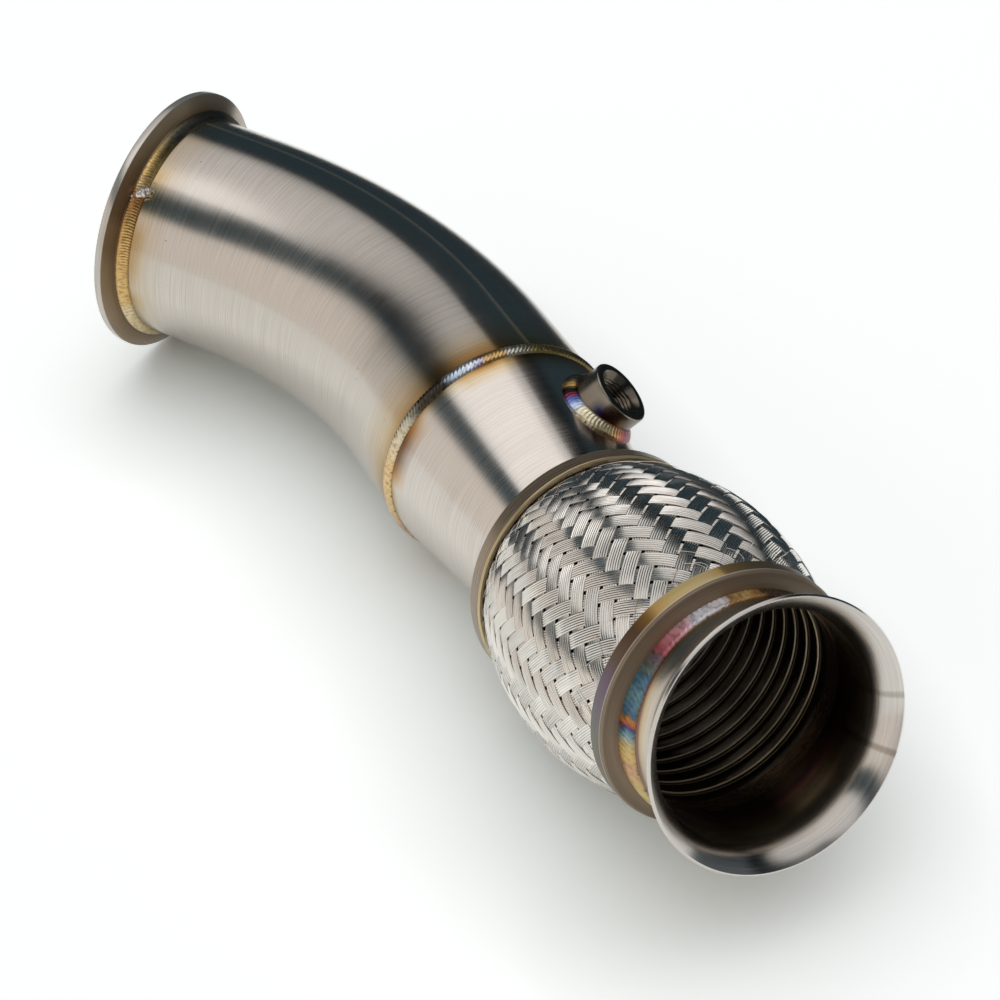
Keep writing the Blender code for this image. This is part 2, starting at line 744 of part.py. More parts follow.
def build():
    clear_scene()
    shop = Workshop()
    flange = make_flange(shop)
    make_flange_weld(shop)
    bend = make_bend(shop)
    mid_weld = make_mid_weld(shop)
    cone = make_cone(shop)
    make_bungs(shop, bend, cone)
    make_collar_weld(shop)
    upper_collar = make_upper_collar(shop)
    braid = make_braid(shop)
    make_bellows(shop)
    make_liner(shop)
    make_lower_collar(shop)
    make_neck(shop)
    make_outlet_weld(shop)
    make_outlet(shop)
    parts = [obj for obj in shop.parts.objects if obj.type == "MESH"]
    bake(parts)
    lie_down(shop.carrier, parts, [[flange], [mid_weld], [upper_collar, braid]])


build()
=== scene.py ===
# %% [markdown]
# # A turbo downpipe in stainless steel
# A downpipe carries exhaust gas away from a turbocharger. This one is all stainless steel, welded together:
# a flange for a V-band clamp, a wide bend, a cone, a flexible section under woven wire, and a flared outlet.
# The shapes come from a CAD model, which is loaded first and gives every piece its place.
# Blender then makes a finer skin for each piece, because a smooth tube, a weld's ripples and the wires of
# a weave need far more faces than a CAD solid should carry.

# %% Load the CAD model
import json
import math

import bpy
import numpy as np
from mathutils import Matrix, Vector
from mathutils.bvhtree import BVHTree


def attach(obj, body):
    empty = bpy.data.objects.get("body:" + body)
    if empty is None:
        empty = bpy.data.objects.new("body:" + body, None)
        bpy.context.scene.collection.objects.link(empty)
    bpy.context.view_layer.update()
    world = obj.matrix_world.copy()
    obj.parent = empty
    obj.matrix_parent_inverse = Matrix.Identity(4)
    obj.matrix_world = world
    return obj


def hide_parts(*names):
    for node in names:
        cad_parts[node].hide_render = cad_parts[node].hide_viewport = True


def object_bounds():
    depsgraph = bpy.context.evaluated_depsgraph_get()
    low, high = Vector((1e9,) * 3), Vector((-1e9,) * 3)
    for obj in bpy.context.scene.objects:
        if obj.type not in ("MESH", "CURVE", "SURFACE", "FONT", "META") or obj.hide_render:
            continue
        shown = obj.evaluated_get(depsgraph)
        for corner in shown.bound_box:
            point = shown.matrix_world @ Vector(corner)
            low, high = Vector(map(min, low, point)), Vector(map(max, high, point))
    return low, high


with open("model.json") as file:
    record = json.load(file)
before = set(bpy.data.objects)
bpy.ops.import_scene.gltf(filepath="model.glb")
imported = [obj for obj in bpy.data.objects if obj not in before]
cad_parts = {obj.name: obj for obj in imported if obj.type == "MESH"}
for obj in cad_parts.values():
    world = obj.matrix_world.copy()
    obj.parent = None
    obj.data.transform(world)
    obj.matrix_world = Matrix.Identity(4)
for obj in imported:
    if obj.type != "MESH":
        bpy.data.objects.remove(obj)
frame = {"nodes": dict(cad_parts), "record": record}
cad_low, cad_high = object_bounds()
MM = 0.001
print("CAD nodes:", len(frame["nodes"]), "box in mm:", [round(x / MM, 1) for x in cad_high - cad_low])

# %% [markdown]
# ## Where the pipe lies
# The pipe lies on the floor at an angle, so its pieces are easier to draw in frames of their own.
# In such a frame X points to the pipe's left, Y up from its middle, and Z along it. Two rings of the CAD
# model show how the pipe lies: a ring is thinnest along its own axis, and its skin is centred on that axis.
# Measuring them is safer than copying numbers, because it follows the CAD model wherever that is put.

# %% The design's frames, in the pipe's own space
BEND_RADIUS = 234 * MM
BEND_ANGLE = math.radians(35)
INLET_RUN = 41 * MM
TAIL_RUN = 42 * MM
CONE_LENGTH = 80.5 * MM
FLEX_LEAN = math.radians(11.8)
COLLAR_WIDTH = 8 * MM
FREE_LENGTH = 89 * MM
OUTLET_PLACE = 13.4 * MM
OUTLET_LEAN = math.radians(8.7)


def ahead(place, distance):
    """A frame moved along its own axis."""
    return place @ Matrix.Translation((0, 0, distance))


def leaned(place, angle):
    """A frame tipped up."""
    return place @ Matrix.Rotation(-angle, 4, "X")


def along_bend(angle, mid):
    """The frame at an angle before the end of the bend."""
    bow = Vector((BEND_RADIUS * (math.cos(angle) - 1), 0, -BEND_RADIUS * math.sin(angle)))
    return ahead(mid, -TAIL_RUN) @ Matrix.Translation(bow) @ Matrix.Rotation(angle, 4, "Y")


OWN_MID = Matrix(((0, 0, 1, 0), (1, 0, 0, 0), (0, 1, 0, 0), (0, 0, 0, 1)))
OWN_FLANGE = ahead(along_bend(BEND_ANGLE, OWN_MID), -INLET_RUN)
OWN_COLLAR = leaned(ahead(OWN_MID, CONE_LENGTH), FLEX_LEAN)
print("Flange in the pipe's own space, in mm:", [round(x / MM) for x in OWN_FLANGE.translation])


# %% Measure two rings of the CAD model, and place the frames in the world
def ring_of(node):
    """The centre of a ring's skin and the direction in which it is thinnest."""
    faces = frame["nodes"][node].data.polygons
    centres = np.array([face.center for face in faces])
    areas = np.array([face.area for face in faces])
    middle = areas @ centres / areas.sum()
    spread = (centres - middle).T * areas @ (centres - middle)
    return Vector(middle), Vector(np.linalg.eigh(spread)[1][:, 0])


def from_two(first, second):
    """Three square directions built on two others."""
    side = first.cross(second).normalized()
    return Matrix((first, side, first.cross(side))).transposed()


flange_middle, flange_axis = ring_of("inlet_vband_flange")
collar_middle, collar_axis = ring_of("lower_collar")
run = collar_middle - flange_middle
flange_axis *= math.copysign(1, flange_axis.dot(run))
collar_axis *= math.copysign(1, collar_axis.dot(run))
own = from_two(OWN_FLANGE.to_3x3().col[2], OWN_COLLAR.to_3x3().col[2])
turn = from_two(flange_axis, collar_axis) @ own.inverted()
front = min(vertex.co.dot(flange_axis) for vertex in frame["nodes"]["inlet_vband_flange"].data.vertices)
flange_place = flange_middle + flange_axis * (front - flange_middle.dot(flange_axis))
PIPE = Matrix.Translation(flange_place - turn @ OWN_FLANGE.translation) @ turn.to_4x4()
MID = PIPE @ OWN_MID
FLANGE = PIPE @ OWN_FLANGE
COLLAR = PIPE @ OWN_COLLAR
LOWER = ahead(COLLAR, COLLAR_WIDTH + FREE_LENGTH)
SEAM = ahead(LOWER, OUTLET_PLACE)
OUTLET = leaned(SEAM, OUTLET_LEAN)
print("The pipe's middle frame is at", [round(x / MM, 2) for x in MID.translation], "mm")

# %% [markdown]
# ## Rings into skins
# Nearly every piece here is round, so one helper makes them all: it takes ring after ring of points and joins
# them with faces. Blender's Screw modifier turns a profile too, but it can't follow a bend, lean one end of
# a cone or lift single points into a weld's ripples, and rings of points can. The helper also lays out the
# UV map that every finish uses: U is the turn round the pipe, from 0 to 1, and V the way along it in
# millimetres. The seam of the map is on the pipe's underside.


# %% Rings of points
RING_POINTS = 192


def clock(turns):
    """Angles from the underside up over the right side and round, where 0 is the top."""
    return np.linspace(-math.pi, math.pi, turns, endpoint=False)


def to_world(place, x, y, z):
    """Points given by arrays in a frame, in world space."""
    points = np.stack(np.broadcast_arrays(x, y, z), axis=-1)
    matrix = np.array(place)
    return points @ matrix[:3, :3].T + matrix[:3, 3]


def rings_at(place, radius, along, turns):
    """Rings in one frame. Radius and along hold a number for each ring, or for each point."""
    radius = np.asarray(radius, float)
    along = np.asarray(along, float)
    radius = radius[:, None] if radius.ndim == 1 else radius
    along = along[:, None] if along.ndim == 1 else along
    angle = clock(turns)
    return to_world(place, radius * np.sin(angle), radius * np.cos(angle), along)


def ring_at(place, radius, along, turns):
    """One ring in a frame."""
    return rings_at(place, [radius], [along], turns)[0]


def out_from(place, turns):
    """The direction away from a frame's axis, for each point of a ring."""
    return ring_at(place, 1.0, 0.0, turns) - np.array(place)[:3, 3]


def axis_of(place):
    """The direction of a frame's axis."""
    return np.array(place)[:3, 2]


def lengths_of(section):
    """The running length in millimetres at each point of a section."""
    steps = np.linalg.norm(np.diff(np.asarray(section), axis=0), axis=1)
    return np.concatenate(([0.0], np.cumsum(steps))) / MM


print("A ring of four points has them at", np.degrees(clock(4)), "degrees")


# %% Faces between rings
def faces_between(rows, width):
    """Faces from each of some rings to the next, and for each corner its share round and its row."""
    row, spot = (grid.ravel() for grid in np.meshgrid(np.arange(rows), np.arange(width), indexing="ij"))
    here, beside = row * width + spot, row * width + (spot + 1) % width
    faces = np.stack((here, beside, beside + width, here + width), 1)
    shares = np.stack((spot, spot + 1, spot + 1, spot), 1) / width
    return faces, shares, np.stack((row, row, row + 1, row + 1), 1)


def mesh_from(name, points, faces, uv):
    """A smooth mesh object from arrays: points, four corners a face, and UVs for each corner."""
    mesh = bpy.data.meshes.new(name)
    mesh.vertices.add(len(points))
    mesh.vertices.foreach_set("co", np.ascontiguousarray(points, np.float32).ravel())
    mesh.loops.add(faces.size)
    mesh.loops.foreach_set("vertex_index", np.ascontiguousarray(faces, np.int32).ravel())
    mesh.polygons.add(len(faces))
    mesh.polygons.foreach_set("loop_start", np.arange(0, faces.size, 4, dtype=np.int32))
    mesh.update(calc_edges=True)
    layer = mesh.uv_layers.new(name="Surface")
    layer.uv.foreach_set("vector", np.ascontiguousarray(uv, np.float32).ravel())
    mesh.validate()
    mesh.shade_smooth()
    mesh.set_sharp_from_angle(angle=math.radians(34))
    made = bpy.data.objects.new(name, mesh)
    bpy.context.scene.collection.objects.link(made)
    return made


def skin(name, rings, v):
    """A mesh through rings of points, joined round each ring, and from the last ring to the first."""
    rings = np.clip(rings, cad_low, cad_high)
    count, turns = rings.shape[:2]
    points = rings.reshape(-1, 3)
    quads, us, rows = faces_between(count, turns)
    quads = quads % len(points)
    vs = np.asarray(v, float)[rows % count]
    a, b, c = points[quads[:, 0]], points[quads[:, 1]], points[quads[:, 2]]
    inward = np.einsum("ij,ij->i", a - points.mean(0), np.cross(b - a, c - a)).sum() < 0
    if inward:
        quads, us, vs = quads[:, ::-1], us[:, ::-1], vs[:, ::-1]
    return mesh_from(name, points, quads, np.stack((us, vs), -1))


print("Two rings of four points are joined by", len(faces_between(1, 4)[0]), "faces")


# %% Soft edges for turned sections, and a piece that is ready
def eased(section, ease=0.25 * MM, steps=3):
    """A section with each corner rounded a little, as a deburred edge is."""
    points = np.asarray(section, float)
    rounded = []
    for before, corner, after in zip(np.roll(points, 1, 0), points, np.roll(points, -1, 0)):
        near = corner + (before - corner) * min(0.4, ease / np.linalg.norm(before - corner))
        far = corner + (after - corner) * min(0.4, ease / np.linalg.norm(after - corner))
        for t in np.linspace(0, 1, steps):
            rounded.append((1 - t) ** 2 * near + 2 * t * (1 - t) * corner + t**2 * far)
    return np.array(rounded)


def turned_piece(name, place, section, turns=RING_POINTS):
    """A closed section of (radius, along) points in millimetres, eased and turned."""
    section = eased(np.array(section) * MM)
    return skin(name, rings_at(place, section[:, 0], section[:, 1], turns), lengths_of(section))


dressed = []


def dress(piece, node, material):
    """The piece stands for a CAD node, moves with the pipe, and wears a material."""
    piece.data.materials.clear()
    piece.data.materials.append(material)
    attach(piece, "root")
    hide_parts(node)
    piece.data.calc_loop_triangles()
    dressed.append(len(piece.data.loop_triangles))
    print(f"{piece.name}: {dressed[-1]} triangles")


print("A square corner becomes", len(eased([(0, 0), (1, 0), (1, 1), (0, 1)])) // 4, "points")

# %% [markdown]
# ## Nodes, colours and patterns
# A finish is a small tree of nodes. One function adds a node, sets its numbers and makes its links, so each
# material below reads as a list of what goes into what. Colours are written as sRGB hex, the way a colour
# picker shows them, and one function turns them into the linear light values that Blender works in. Patterns
# use the map, where noise stretched one way draws brush marks, streaks or slow clouds.


# %% One colour function and one node function
def linear(hex_colour):
    """An sRGB hex colour as linear red, green, blue and alpha."""
    parts = [int(hex_colour[i : i + 2], 16) / 255 for i in (1, 3, 5)]
    return (*[c / 12.92 if c <= 0.04045 else ((c + 0.055) / 1.055) ** 2.4 for c in parts], 1.0)


def feed(tree, node, inputs):
    """Set a node's inputs, from numbers, outputs, or nodes that stand for their first output in use."""
    for socket, value in inputs.items():
        if isinstance(value, bpy.types.Node):
            value = next(output for output in value.outputs if output.enabled)
        if isinstance(value, bpy.types.NodeSocket):
            tree.links.new(value, node.inputs[socket])
        else:
            node.inputs[socket].default_value = value


def add(tree, kind, inputs=None, stops=None, **settings):
    """Add a node and feed it. Stops are a colour ramp's places and colours."""
    made = tree.nodes.new("ShaderNode" + kind)
    for name, value in settings.items():
        setattr(made, name, value)
    feed(tree, made, inputs or {})
    if stops:
        elements = made.color_ramp.elements
        while len(elements) < len(stops):
            elements.new(1.0)
        for element, (place, colour) in zip(elements, stops):
            element.position = place
            element.color = linear(colour) if isinstance(colour, str) else (colour, colour, colour, 1.0)
    return made


# A Mix node has sockets for every kind of data, so its own are named here by their numbers
SHARE, FIRST, SECOND = 0, 6, 7
FIRST_NUMBER, SECOND_NUMBER = 2, 3
BLENDED = {"data_type": "RGBA"}
TIMES = {"data_type": "RGBA", "blend_type": "MULTIPLY"}
WHITE = "#FFFFFF"
print("Middle grey in linear light:", round(linear("#808080")[0], 3))


# %% Materials on the map
def new_finish(name):
    """A new material with its tree, its shader, its map, and the map's two directions apart."""
    material = bpy.data.materials.new(name)
    material.use_nodes = True
    tree = material.node_tree
    surface = add(tree, "UVMap", uv_map="Surface")
    parts = add(tree, "SeparateXYZ", {"Vector": surface})
    return material, tree, tree.nodes["Principled BSDF"], surface, parts


def patches(tree, surface, in_a_turn, in_a_millimetre, detail=2.0):
    """Noise by its number of patches in one turn of the map and in one millimetre along it."""
    stretched = add(tree, "Mapping", {"Vector": surface, "Scale": (in_a_turn, in_a_millimetre, 1.0)})
    return add(tree, "TexNoise", {"Vector": stretched, "Scale": 1.0, "Detail": detail})


def feeding(material, socket):
    """What is linked to one of a material's shader sockets, so that a layer can go on top of it."""
    return material.node_tree.nodes["Principled BSDF"].inputs[socket].links[0].from_socket


def lay_over(material, colour, share, kind="MULTIPLY"):
    """Put a colour over a material's own, by a share from 0 to 1."""
    tree = material.node_tree
    inputs = {FIRST: feeding(material, "Base Color"), SECOND: colour, SHARE: share}
    layer = add(tree, "Mix", inputs, data_type="RGBA", blend_type=kind)
    feed(tree, tree.nodes["Principled BSDF"], {"Base Color": layer})


def map_part(material, axis):
    """The place round a piece, X, or along it, Y."""
    nodes = material.node_tree.nodes
    return next(node for node in nodes if node.bl_idname == "ShaderNodeSeparateXYZ").outputs[axis]


def tint_round(material, stops, low, high, strength=1.0, soft=0.2):
    """Tint a material by the turn round the pipe, where V lies between low and high millimetres."""
    tree = material.node_tree
    turned = add(tree, "ValToRGB", {"Fac": map_part(material, "X")}, stops=stops)
    along = map_part(material, "Y")
    near = add(tree, "MapRange", {"Value": along, "From Min": low - soft, "From Max": low + soft})
    far = add(tree, "MapRange", {"Value": along, "From Min": high + soft, "From Max": high - soft})
    inside = add(tree, "Math", {0: near, 1: far}, operation="MULTIPLY")
    share = add(tree, "Math", {0: inside, 1: strength}, operation="MULTIPLY")
    lay_over(material, turned, share)


def turns_to(stops):
    """Stops by clock angle in degrees, 0 at the top and positive on the left, as places on the map."""
    return [((angle + 180) / 360, colour) for angle, colour in stops]


print("The pipe's right side is at", turns_to([(-90, WHITE)])[0][0], "on the map")

# %% [markdown]
# ## Brushed and heat-tinted stainless
# The tube is 304 stainless, polished with a fine belt that ran round the pipe. Such a surface reflects
# sharply round the pipe, along its grain, and smears light along the pipe, which is what the Principled
# shader's anisotropy does. Welding heats the steel beside a bead until a thin oxide grows, whose colour tells
# how hot it was: straw, then gold, brown, purple and blue. Colour ramps lay these tints by distance along the
# pipe and by the turn round it, and a little noise keeps the borders from looking ruled.


# %% A tinted steel finish
def steel_finish(
    name, colour, roughness, tints, span, girth=320.0, shine=0.6, wander=3.0, grain=0.02, metal=1.0
):
    """Brushed stainless with tint colours laid along V between the two ends of span, in millimetres."""
    material, tree, shader, surface, parts = new_finish(name)
    # Belt marks 0.1 mm apart are too fine to show, so they are drawn 0.6 mm apart and long round the pipe
    marks = patches(tree, surface, girth * 0.03, 1.6, 3.0)
    # Slow clouds some 20 mm wide bend the tints' borders and change the gloss
    clouds = patches(tree, surface, girth * 0.05, 0.05)
    shift = add(tree, "MapRange", {"Value": clouds, "To Min": -wander, "To Max": wander})
    moved = add(tree, "Math", {0: parts.outputs["Y"], 1: shift}, operation="ADD")
    place = add(tree, "MapRange", {"Value": moved, "From Min": span[0], "From Max": span[1]})
    tint = add(tree, "ValToRGB", {"Fac": place}, stops=tints)
    tinted = add(tree, "Mix", {FIRST: linear(colour), SECOND: tint, SHARE: 1.0}, **TIMES)
    brushed = add(tree, "ValToRGB", {"Fac": marks}, stops=[(0.3, "#EEEDEC"), (0.6, WHITE)])
    layers = add(tree, "Mix", {FIRST: tinted, SECOND: brushed, SHARE: 1.0}, **TIMES)
    uneven = add(tree, "Math", {0: marks, 1: clouds}, operation="ADD")
    gloss = add(tree, "MapRange", {
        "Value": uneven, "From Min": 0.6, "From Max": 1.4,
        "To Min": roughness - 0.03, "To Max": roughness + 0.05,
    })
    feed(tree, shader, {
        "Base Color": layers,
        "Metallic": metal,
        "Roughness": gloss,
        "Anisotropic": shine,
        "Anisotropic Rotation": 0.25,
        "Normal": add(tree, "Bump", {"Height": marks, "Strength": grain, "Distance": 0.6 * MM}),
        "Tangent": add(tree, "Tangent", direction_type="UV_MAP", uv_map="Surface"),
    })
    print(f"{name}: {len(tints)} tints over {span[1] - span[0]:.0f} mm")
    return material


# %% [markdown]
# ## The bend
# A mandrel-bent tube of 101.6 mm (4 in) with a 1.6 mm wall: a straight run from the flange, a bend of 35
# degrees and a straight tail. A bevelled curve could draw it, but rings keep an even UV map, with V as the
# true length along the pipe, and the tints need that length.

# %% The bend's rings
TUBE_RADIUS = 50.8 * MM
TUBE_WALL = 1.6 * MM
HUB_END = 7 * MM


def bend_route():
    """Frames along the tube, and the distance of each before the mid weld in millimetres."""
    length = TAIL_RUN + BEND_RADIUS * BEND_ANGLE
    places = [(ahead(FLANGE, x), -(length + INLET_RUN - x)) for x in np.linspace(HUB_END, INLET_RUN, 8)[:-1]]
    for angle in np.linspace(BEND_ANGLE, 0, 49):
        places.append((PIPE @ along_bend(angle, OWN_MID), -(TAIL_RUN + BEND_RADIUS * angle)))
    places += [(ahead(MID, -x), -x) for x in np.linspace(TAIL_RUN, 0, 10)[1:]]
    return [place for place, v in places], [v / MM for place, v in places]


places, lengths = bend_route()
walls = [ring_at(place, TUBE_RADIUS, 0.0, RING_POINTS) for place in places]
walls += [ring_at(place, TUBE_RADIUS - TUBE_WALL, 0.0, RING_POINTS) for place in places[::-1]]
bend = skin("bend_pipe_skin", np.array(walls), lengths + lengths[::-1])
print("Tube length in mm:", round(-lengths[0], 1))

# %% The bend's finish
bend_tints = [
    (0.0, "#E9D9B8"), (0.03, "#F6EBD6"), (0.10, WHITE), (0.88, WHITE), (0.95, "#F6EAD2"), (0.98, "#E4C898"),
    (1.0, "#8A7048"),
]
bend_steel = steel_finish("brushed_304_tube", "#CBC3BA", 0.19, bend_tints, (lengths[0], 0.0))
tint_round(bend_steel, turns_to([
    (-180, WHITE), (-98, "#EAD9BE"), (-80, WHITE), (-52, WHITE), (-34, "#EBCB98"), (-20, "#F0D2A0"),
    (-4, "#EBC88E"), (6, WHITE),
]), -10.0, 4.5, strength=0.7, soft=4.0)
tint_round(bend_steel, turns_to([
    (-120, WHITE), (-104, "#F0DDB6"), (-96, WHITE), (-84, "#F2E0BC"), (-66, "#EBD4A6"), (-58, WHITE),
    (-34, "#F4E4C2"), (-26, WHITE),
]), lengths[0], lengths[0] + 10.0, strength=0.8, soft=3.0)

# %% [markdown]
# The tube was rolled from strip, whose seam shows as a thin straw line beside the top. A ramp on U draws it,
# and the line is duller than the belt-polished steel. A few pits come from a pattern of random cells, of
# which only one in ten shows its middle.

# %% The strip's seam, and a few pits
SEAM_TURN = (12 + 180) / 360
SEAM_CORE, SEAM_EDGE = 0.0008, 0.0022
tree = bend_steel.node_tree
seam = add(tree, "ValToRGB", {"Fac": map_part(bend_steel, "X")}, stops=[
    (0.0, 0.0), (SEAM_TURN - SEAM_EDGE, 0.0), (SEAM_TURN - SEAM_CORE, 1.0), (SEAM_TURN + SEAM_CORE, 1.0),
    (SEAM_TURN + SEAM_EDGE, 0.0),
])
lay_over(bend_steel, linear("#F0D08C"), seam, "MIX")
surface = next(node for node in tree.nodes if node.bl_idname == "ShaderNodeUVMap")
polished = feeding(bend_steel, "Roughness")
feed(tree, tree.nodes["Principled BSDF"], {
    "Roughness": add(tree, "Mix", {FIRST_NUMBER: polished, SECOND_NUMBER: 0.6, SHARE: seam}),
    "Metallic": add(tree, "Mix", {FIRST_NUMBER: 1.0, SECOND_NUMBER: 0.55, SHARE: seam}),
})
spread = add(tree, "Mapping", {"Vector": surface, "Scale": (80.0, 0.25, 1.0)})
cells = add(tree, "TexVoronoi", {"Vector": spread, "Scale": 1.0})
picked = add(tree, "SeparateXYZ", {"Vector": cells.outputs["Color"]})
near = add(tree, "Math", {0: cells, 1: 0.07}, operation="LESS_THAN")
few = add(tree, "Math", {0: picked, 1: 0.9}, operation="GREATER_THAN")
pits = add(tree, "Math", {0: near, 1: few}, operation="MULTIPLY")
lay_over(bend_steel, linear("#4A4440"), pits)
print("The seam's line is", round(math.tau * TUBE_RADIUS / MM * 2 * SEAM_CORE, 1), "mm wide")

# %% [markdown]
# ## The V-band flange
# A turned ring whose sloped back a V-band clamp pulls against another flange. It was cut on a lathe, so it
# shows fine rings round its axis, a polished rim, and a back that the welding tinted olive and gold. A turned
# section makes it, with every corner broken a little, because a sharp edge would catch no light.

# %% The flange
HUB = 54.0
RIM = 61.0
BACK = 7.0
CLAMP_END = 3.6
SLOPE_END = CLAMP_END + BACK * math.tan(math.radians(20))
flange = turned_piece("vband_flange", FLANGE, [
    (HUB, BACK), (HUB, SLOPE_END), (RIM, CLAMP_END), (RIM, 0.4), (RIM - 0.4, 0.0), (53.5, 0.0), (53.5, 1.5),
    (49.2, 1.5), (49.2, BACK),
], 216)
flange_tints = [
    (0.0, "#8E7858"), (0.03, "#BCA98C"), (0.10, "#D6C8B4"), (0.172, "#E2D8CA"), (0.182, WHITE), (1.0, WHITE),
]
flange_steel = steel_finish(
    "turned_304_flange", "#D2CBC2", 0.22, flange_tints, (0.0, 46.0), 370.0, 0.4, 0.3, grain=0.04, metal=0.6,
)
tint_round(flange_steel, turns_to([
    (-180, "#F4ECE0"), (-112, "#F0E4D4"), (-95, "#D2BA92"), (-70, "#C4A476"), (-50, "#D0A878"),
    (-44, "#CCA26E"), (-25, "#DCCCAE"), (5, "#F4ECE0"), (40, WHITE),
]), 0.0, 8.3, strength=0.8)
dress(flange, "inlet_vband_flange", flange_steel)

# %% [markdown]
# ## Weld beads
# The joints were made by TIG welding: an arc melts the edges, the welder dips a wire in, and each dip leaves
# a crescent. So a bead is a row of overlapping crescents one or two millimetres apart. A bump map would make
# them look painted on in close views, so the rings themselves are lifted: each ring of points runs along the
# weld, and a ripple function bends the crescents back towards the bead's edges.


# %% A bead from one foot to the other
def bead(name, foot_rings, outward, rise, ripples, depth=0.12, fullness=0.7, slant=0.0, seed=1):
    """A bead over the rings between its two feet, lifted outward. Rise and depth are in millimetres."""
    count, turns = foot_rings.shape[:2]
    outward = np.broadcast_to(outward, foot_rings.shape)
    across = np.linspace(-1, 1, count)[:, None]
    random = np.random.default_rng(seed)
    turn = np.linspace(0, 1, turns, endpoint=False)
    waves = [random.normal() * np.cos(math.tau * (k * turn + random.random())) / k for k in range(3, 40)]
    wander = sum(waves) * 0.25
    # Each crescent bows back at the feet and has a broad crest with a narrow groove before the next
    phase = ripples * turn + wander * 0.4 + 0.55 * across**2 + slant * across
    crest = np.abs(np.sin(math.pi * phase)) ** 0.55
    size = 1 + 0.10 * wander
    dome = np.clip(1 - np.abs(across) ** 2.2, 0, 1) ** fullness
    # The feet are sunk a little, so that no gap shows beside the weld
    sunk = 0.08
    lift = dome * (rise * size - depth) + depth * crest * np.clip(1.15 - np.abs(across) ** 6, 0, 1) - sunk
    top = foot_rings + outward * lift[..., None] * MM
    under = foot_rings[[-1, 0]] - outward[[-1, 0]] * 0.6 * MM
    print(f"{name}: {ripples} ripples")
    return skin(name, np.concatenate((top, under)), [*across[:, 0], 1, -1])


def between(first, second, count):
    """Rings in even steps from one ring to another."""
    share = np.linspace(0, 1, count)[:, None, None]
    return first * (1 - share) + second * share


# %% The bead between flange and tube
LONG_WELD = 1800
hub_foot = ring_at(FLANGE, 54.1 * MM, 6.9 * MM, LONG_WELD)
tube_foot = ring_at(FLANGE, 50.7 * MM, 11.7 * MM, LONG_WELD)
lean_out = out_from(FLANGE, LONG_WELD) * 0.825 + axis_of(FLANGE) * 0.567
flange_bead = bead("flange_bead", between(hub_foot, tube_foot, 11), lean_out, 0.8, 250, 0.2)

# %% [markdown]
# ## The cone
# Between the bend and the flexible section the pipe narrows from 101.6 mm to 76.2 mm (4 in to 3 in) and
# starts to rise. The cone is a straight loft between two circles that lean against each other, so its rings
# are mixed from its first and last, and the mid weld's far half lies on the same surface.

# %% The cone and the mid weld
CONE_END = 38.1 * MM
MID_REACH = 3.0 * MM


def cone_ring(share, turns=LONG_WELD, wall=0.0):
    """A ring at a share of the way along the cone, and as deep in its wall as wanted."""
    start = ring_at(MID, TUBE_RADIUS - wall, 0.0, turns)
    end = ring_at(COLLAR, CONE_END - wall, 0.0, turns)
    return start * (1 - share) + end * share


shares = np.linspace(0.001, 0.998, 26)
walls = [cone_ring(share, RING_POINTS) for share in shares]
walls += [cone_ring(share, RING_POINTS, TUBE_WALL) for share in shares[::-1]]
cone = skin("cone_skin", np.array(walls), np.concatenate((shares, shares[::-1])) * CONE_LENGTH / MM)
feet = [ring_at(MID, TUBE_RADIUS, x, LONG_WELD) for x in np.linspace(-MID_REACH, 0, 6)]
feet += [cone_ring(x / CONE_LENGTH) for x in np.linspace(0, MID_REACH, 6)[1:]]
mid_bead = bead("mid_bead", np.array(feet), out_from(MID, LONG_WELD), 1.3, 180, 0.4, slant=0.9, seed=2)

# %% [markdown]
# ## Sensor bungs
# A bung is a short boss with an M18 x 1.5 thread for an oxygen sensor. Its outside is turned. Its thread is a
# real screw surface: the bore's radius follows a wave that moves on by one pitch in each turn. The wall under
# it has a true hole, cut with a Boolean, so that the bore is open down into the pipe.

# %% Bung frames, measured on the CAD nodes
BUNG_RADIUS = 14.0 * MM
BUNG_HEIGHT = 11.8 * MM


def bung_frame(node, mount):
    """A frame on a bung's axis where it leaves the wall, from the axis that the record gives for its face."""
    face = next(m for m in frame["record"]["mounts"] if m["name"] == mount)
    axis = Vector(face["axis"]).normalized()
    middle = ring_of(node)[0]
    top = max(vertex.co.dot(axis) for vertex in frame["nodes"][node].data.vertices)
    side = Vector(MID.to_3x3().col[2]).cross(axis).normalized()
    square = Matrix((side, axis.cross(side), axis)).transposed().to_4x4()
    return Matrix.Translation(middle + axis * (top - middle.dot(axis) - BUNG_HEIGHT)) @ square


front_boss = bung_frame("front_sensor_bung", "front_bung_face")
rear_boss = bung_frame("rear_sensor_bung", "rear_bung_face")
print("Front bung at", [round(x / MM, 1) for x in front_boss.translation], "mm")

# %% Turned bungs with a screwed bore
THREAD_PITCH = 1.5 * MM
THREAD_DEPTH = 0.75 * MM
BUNG_BORE = 8.2 * MM
BUNG_FOOT = 4.1 * MM
THREAD_LOW = 0.3 * MM - BUNG_FOOT
THREAD_HIGH = BUNG_HEIGHT - 2.4 * MM


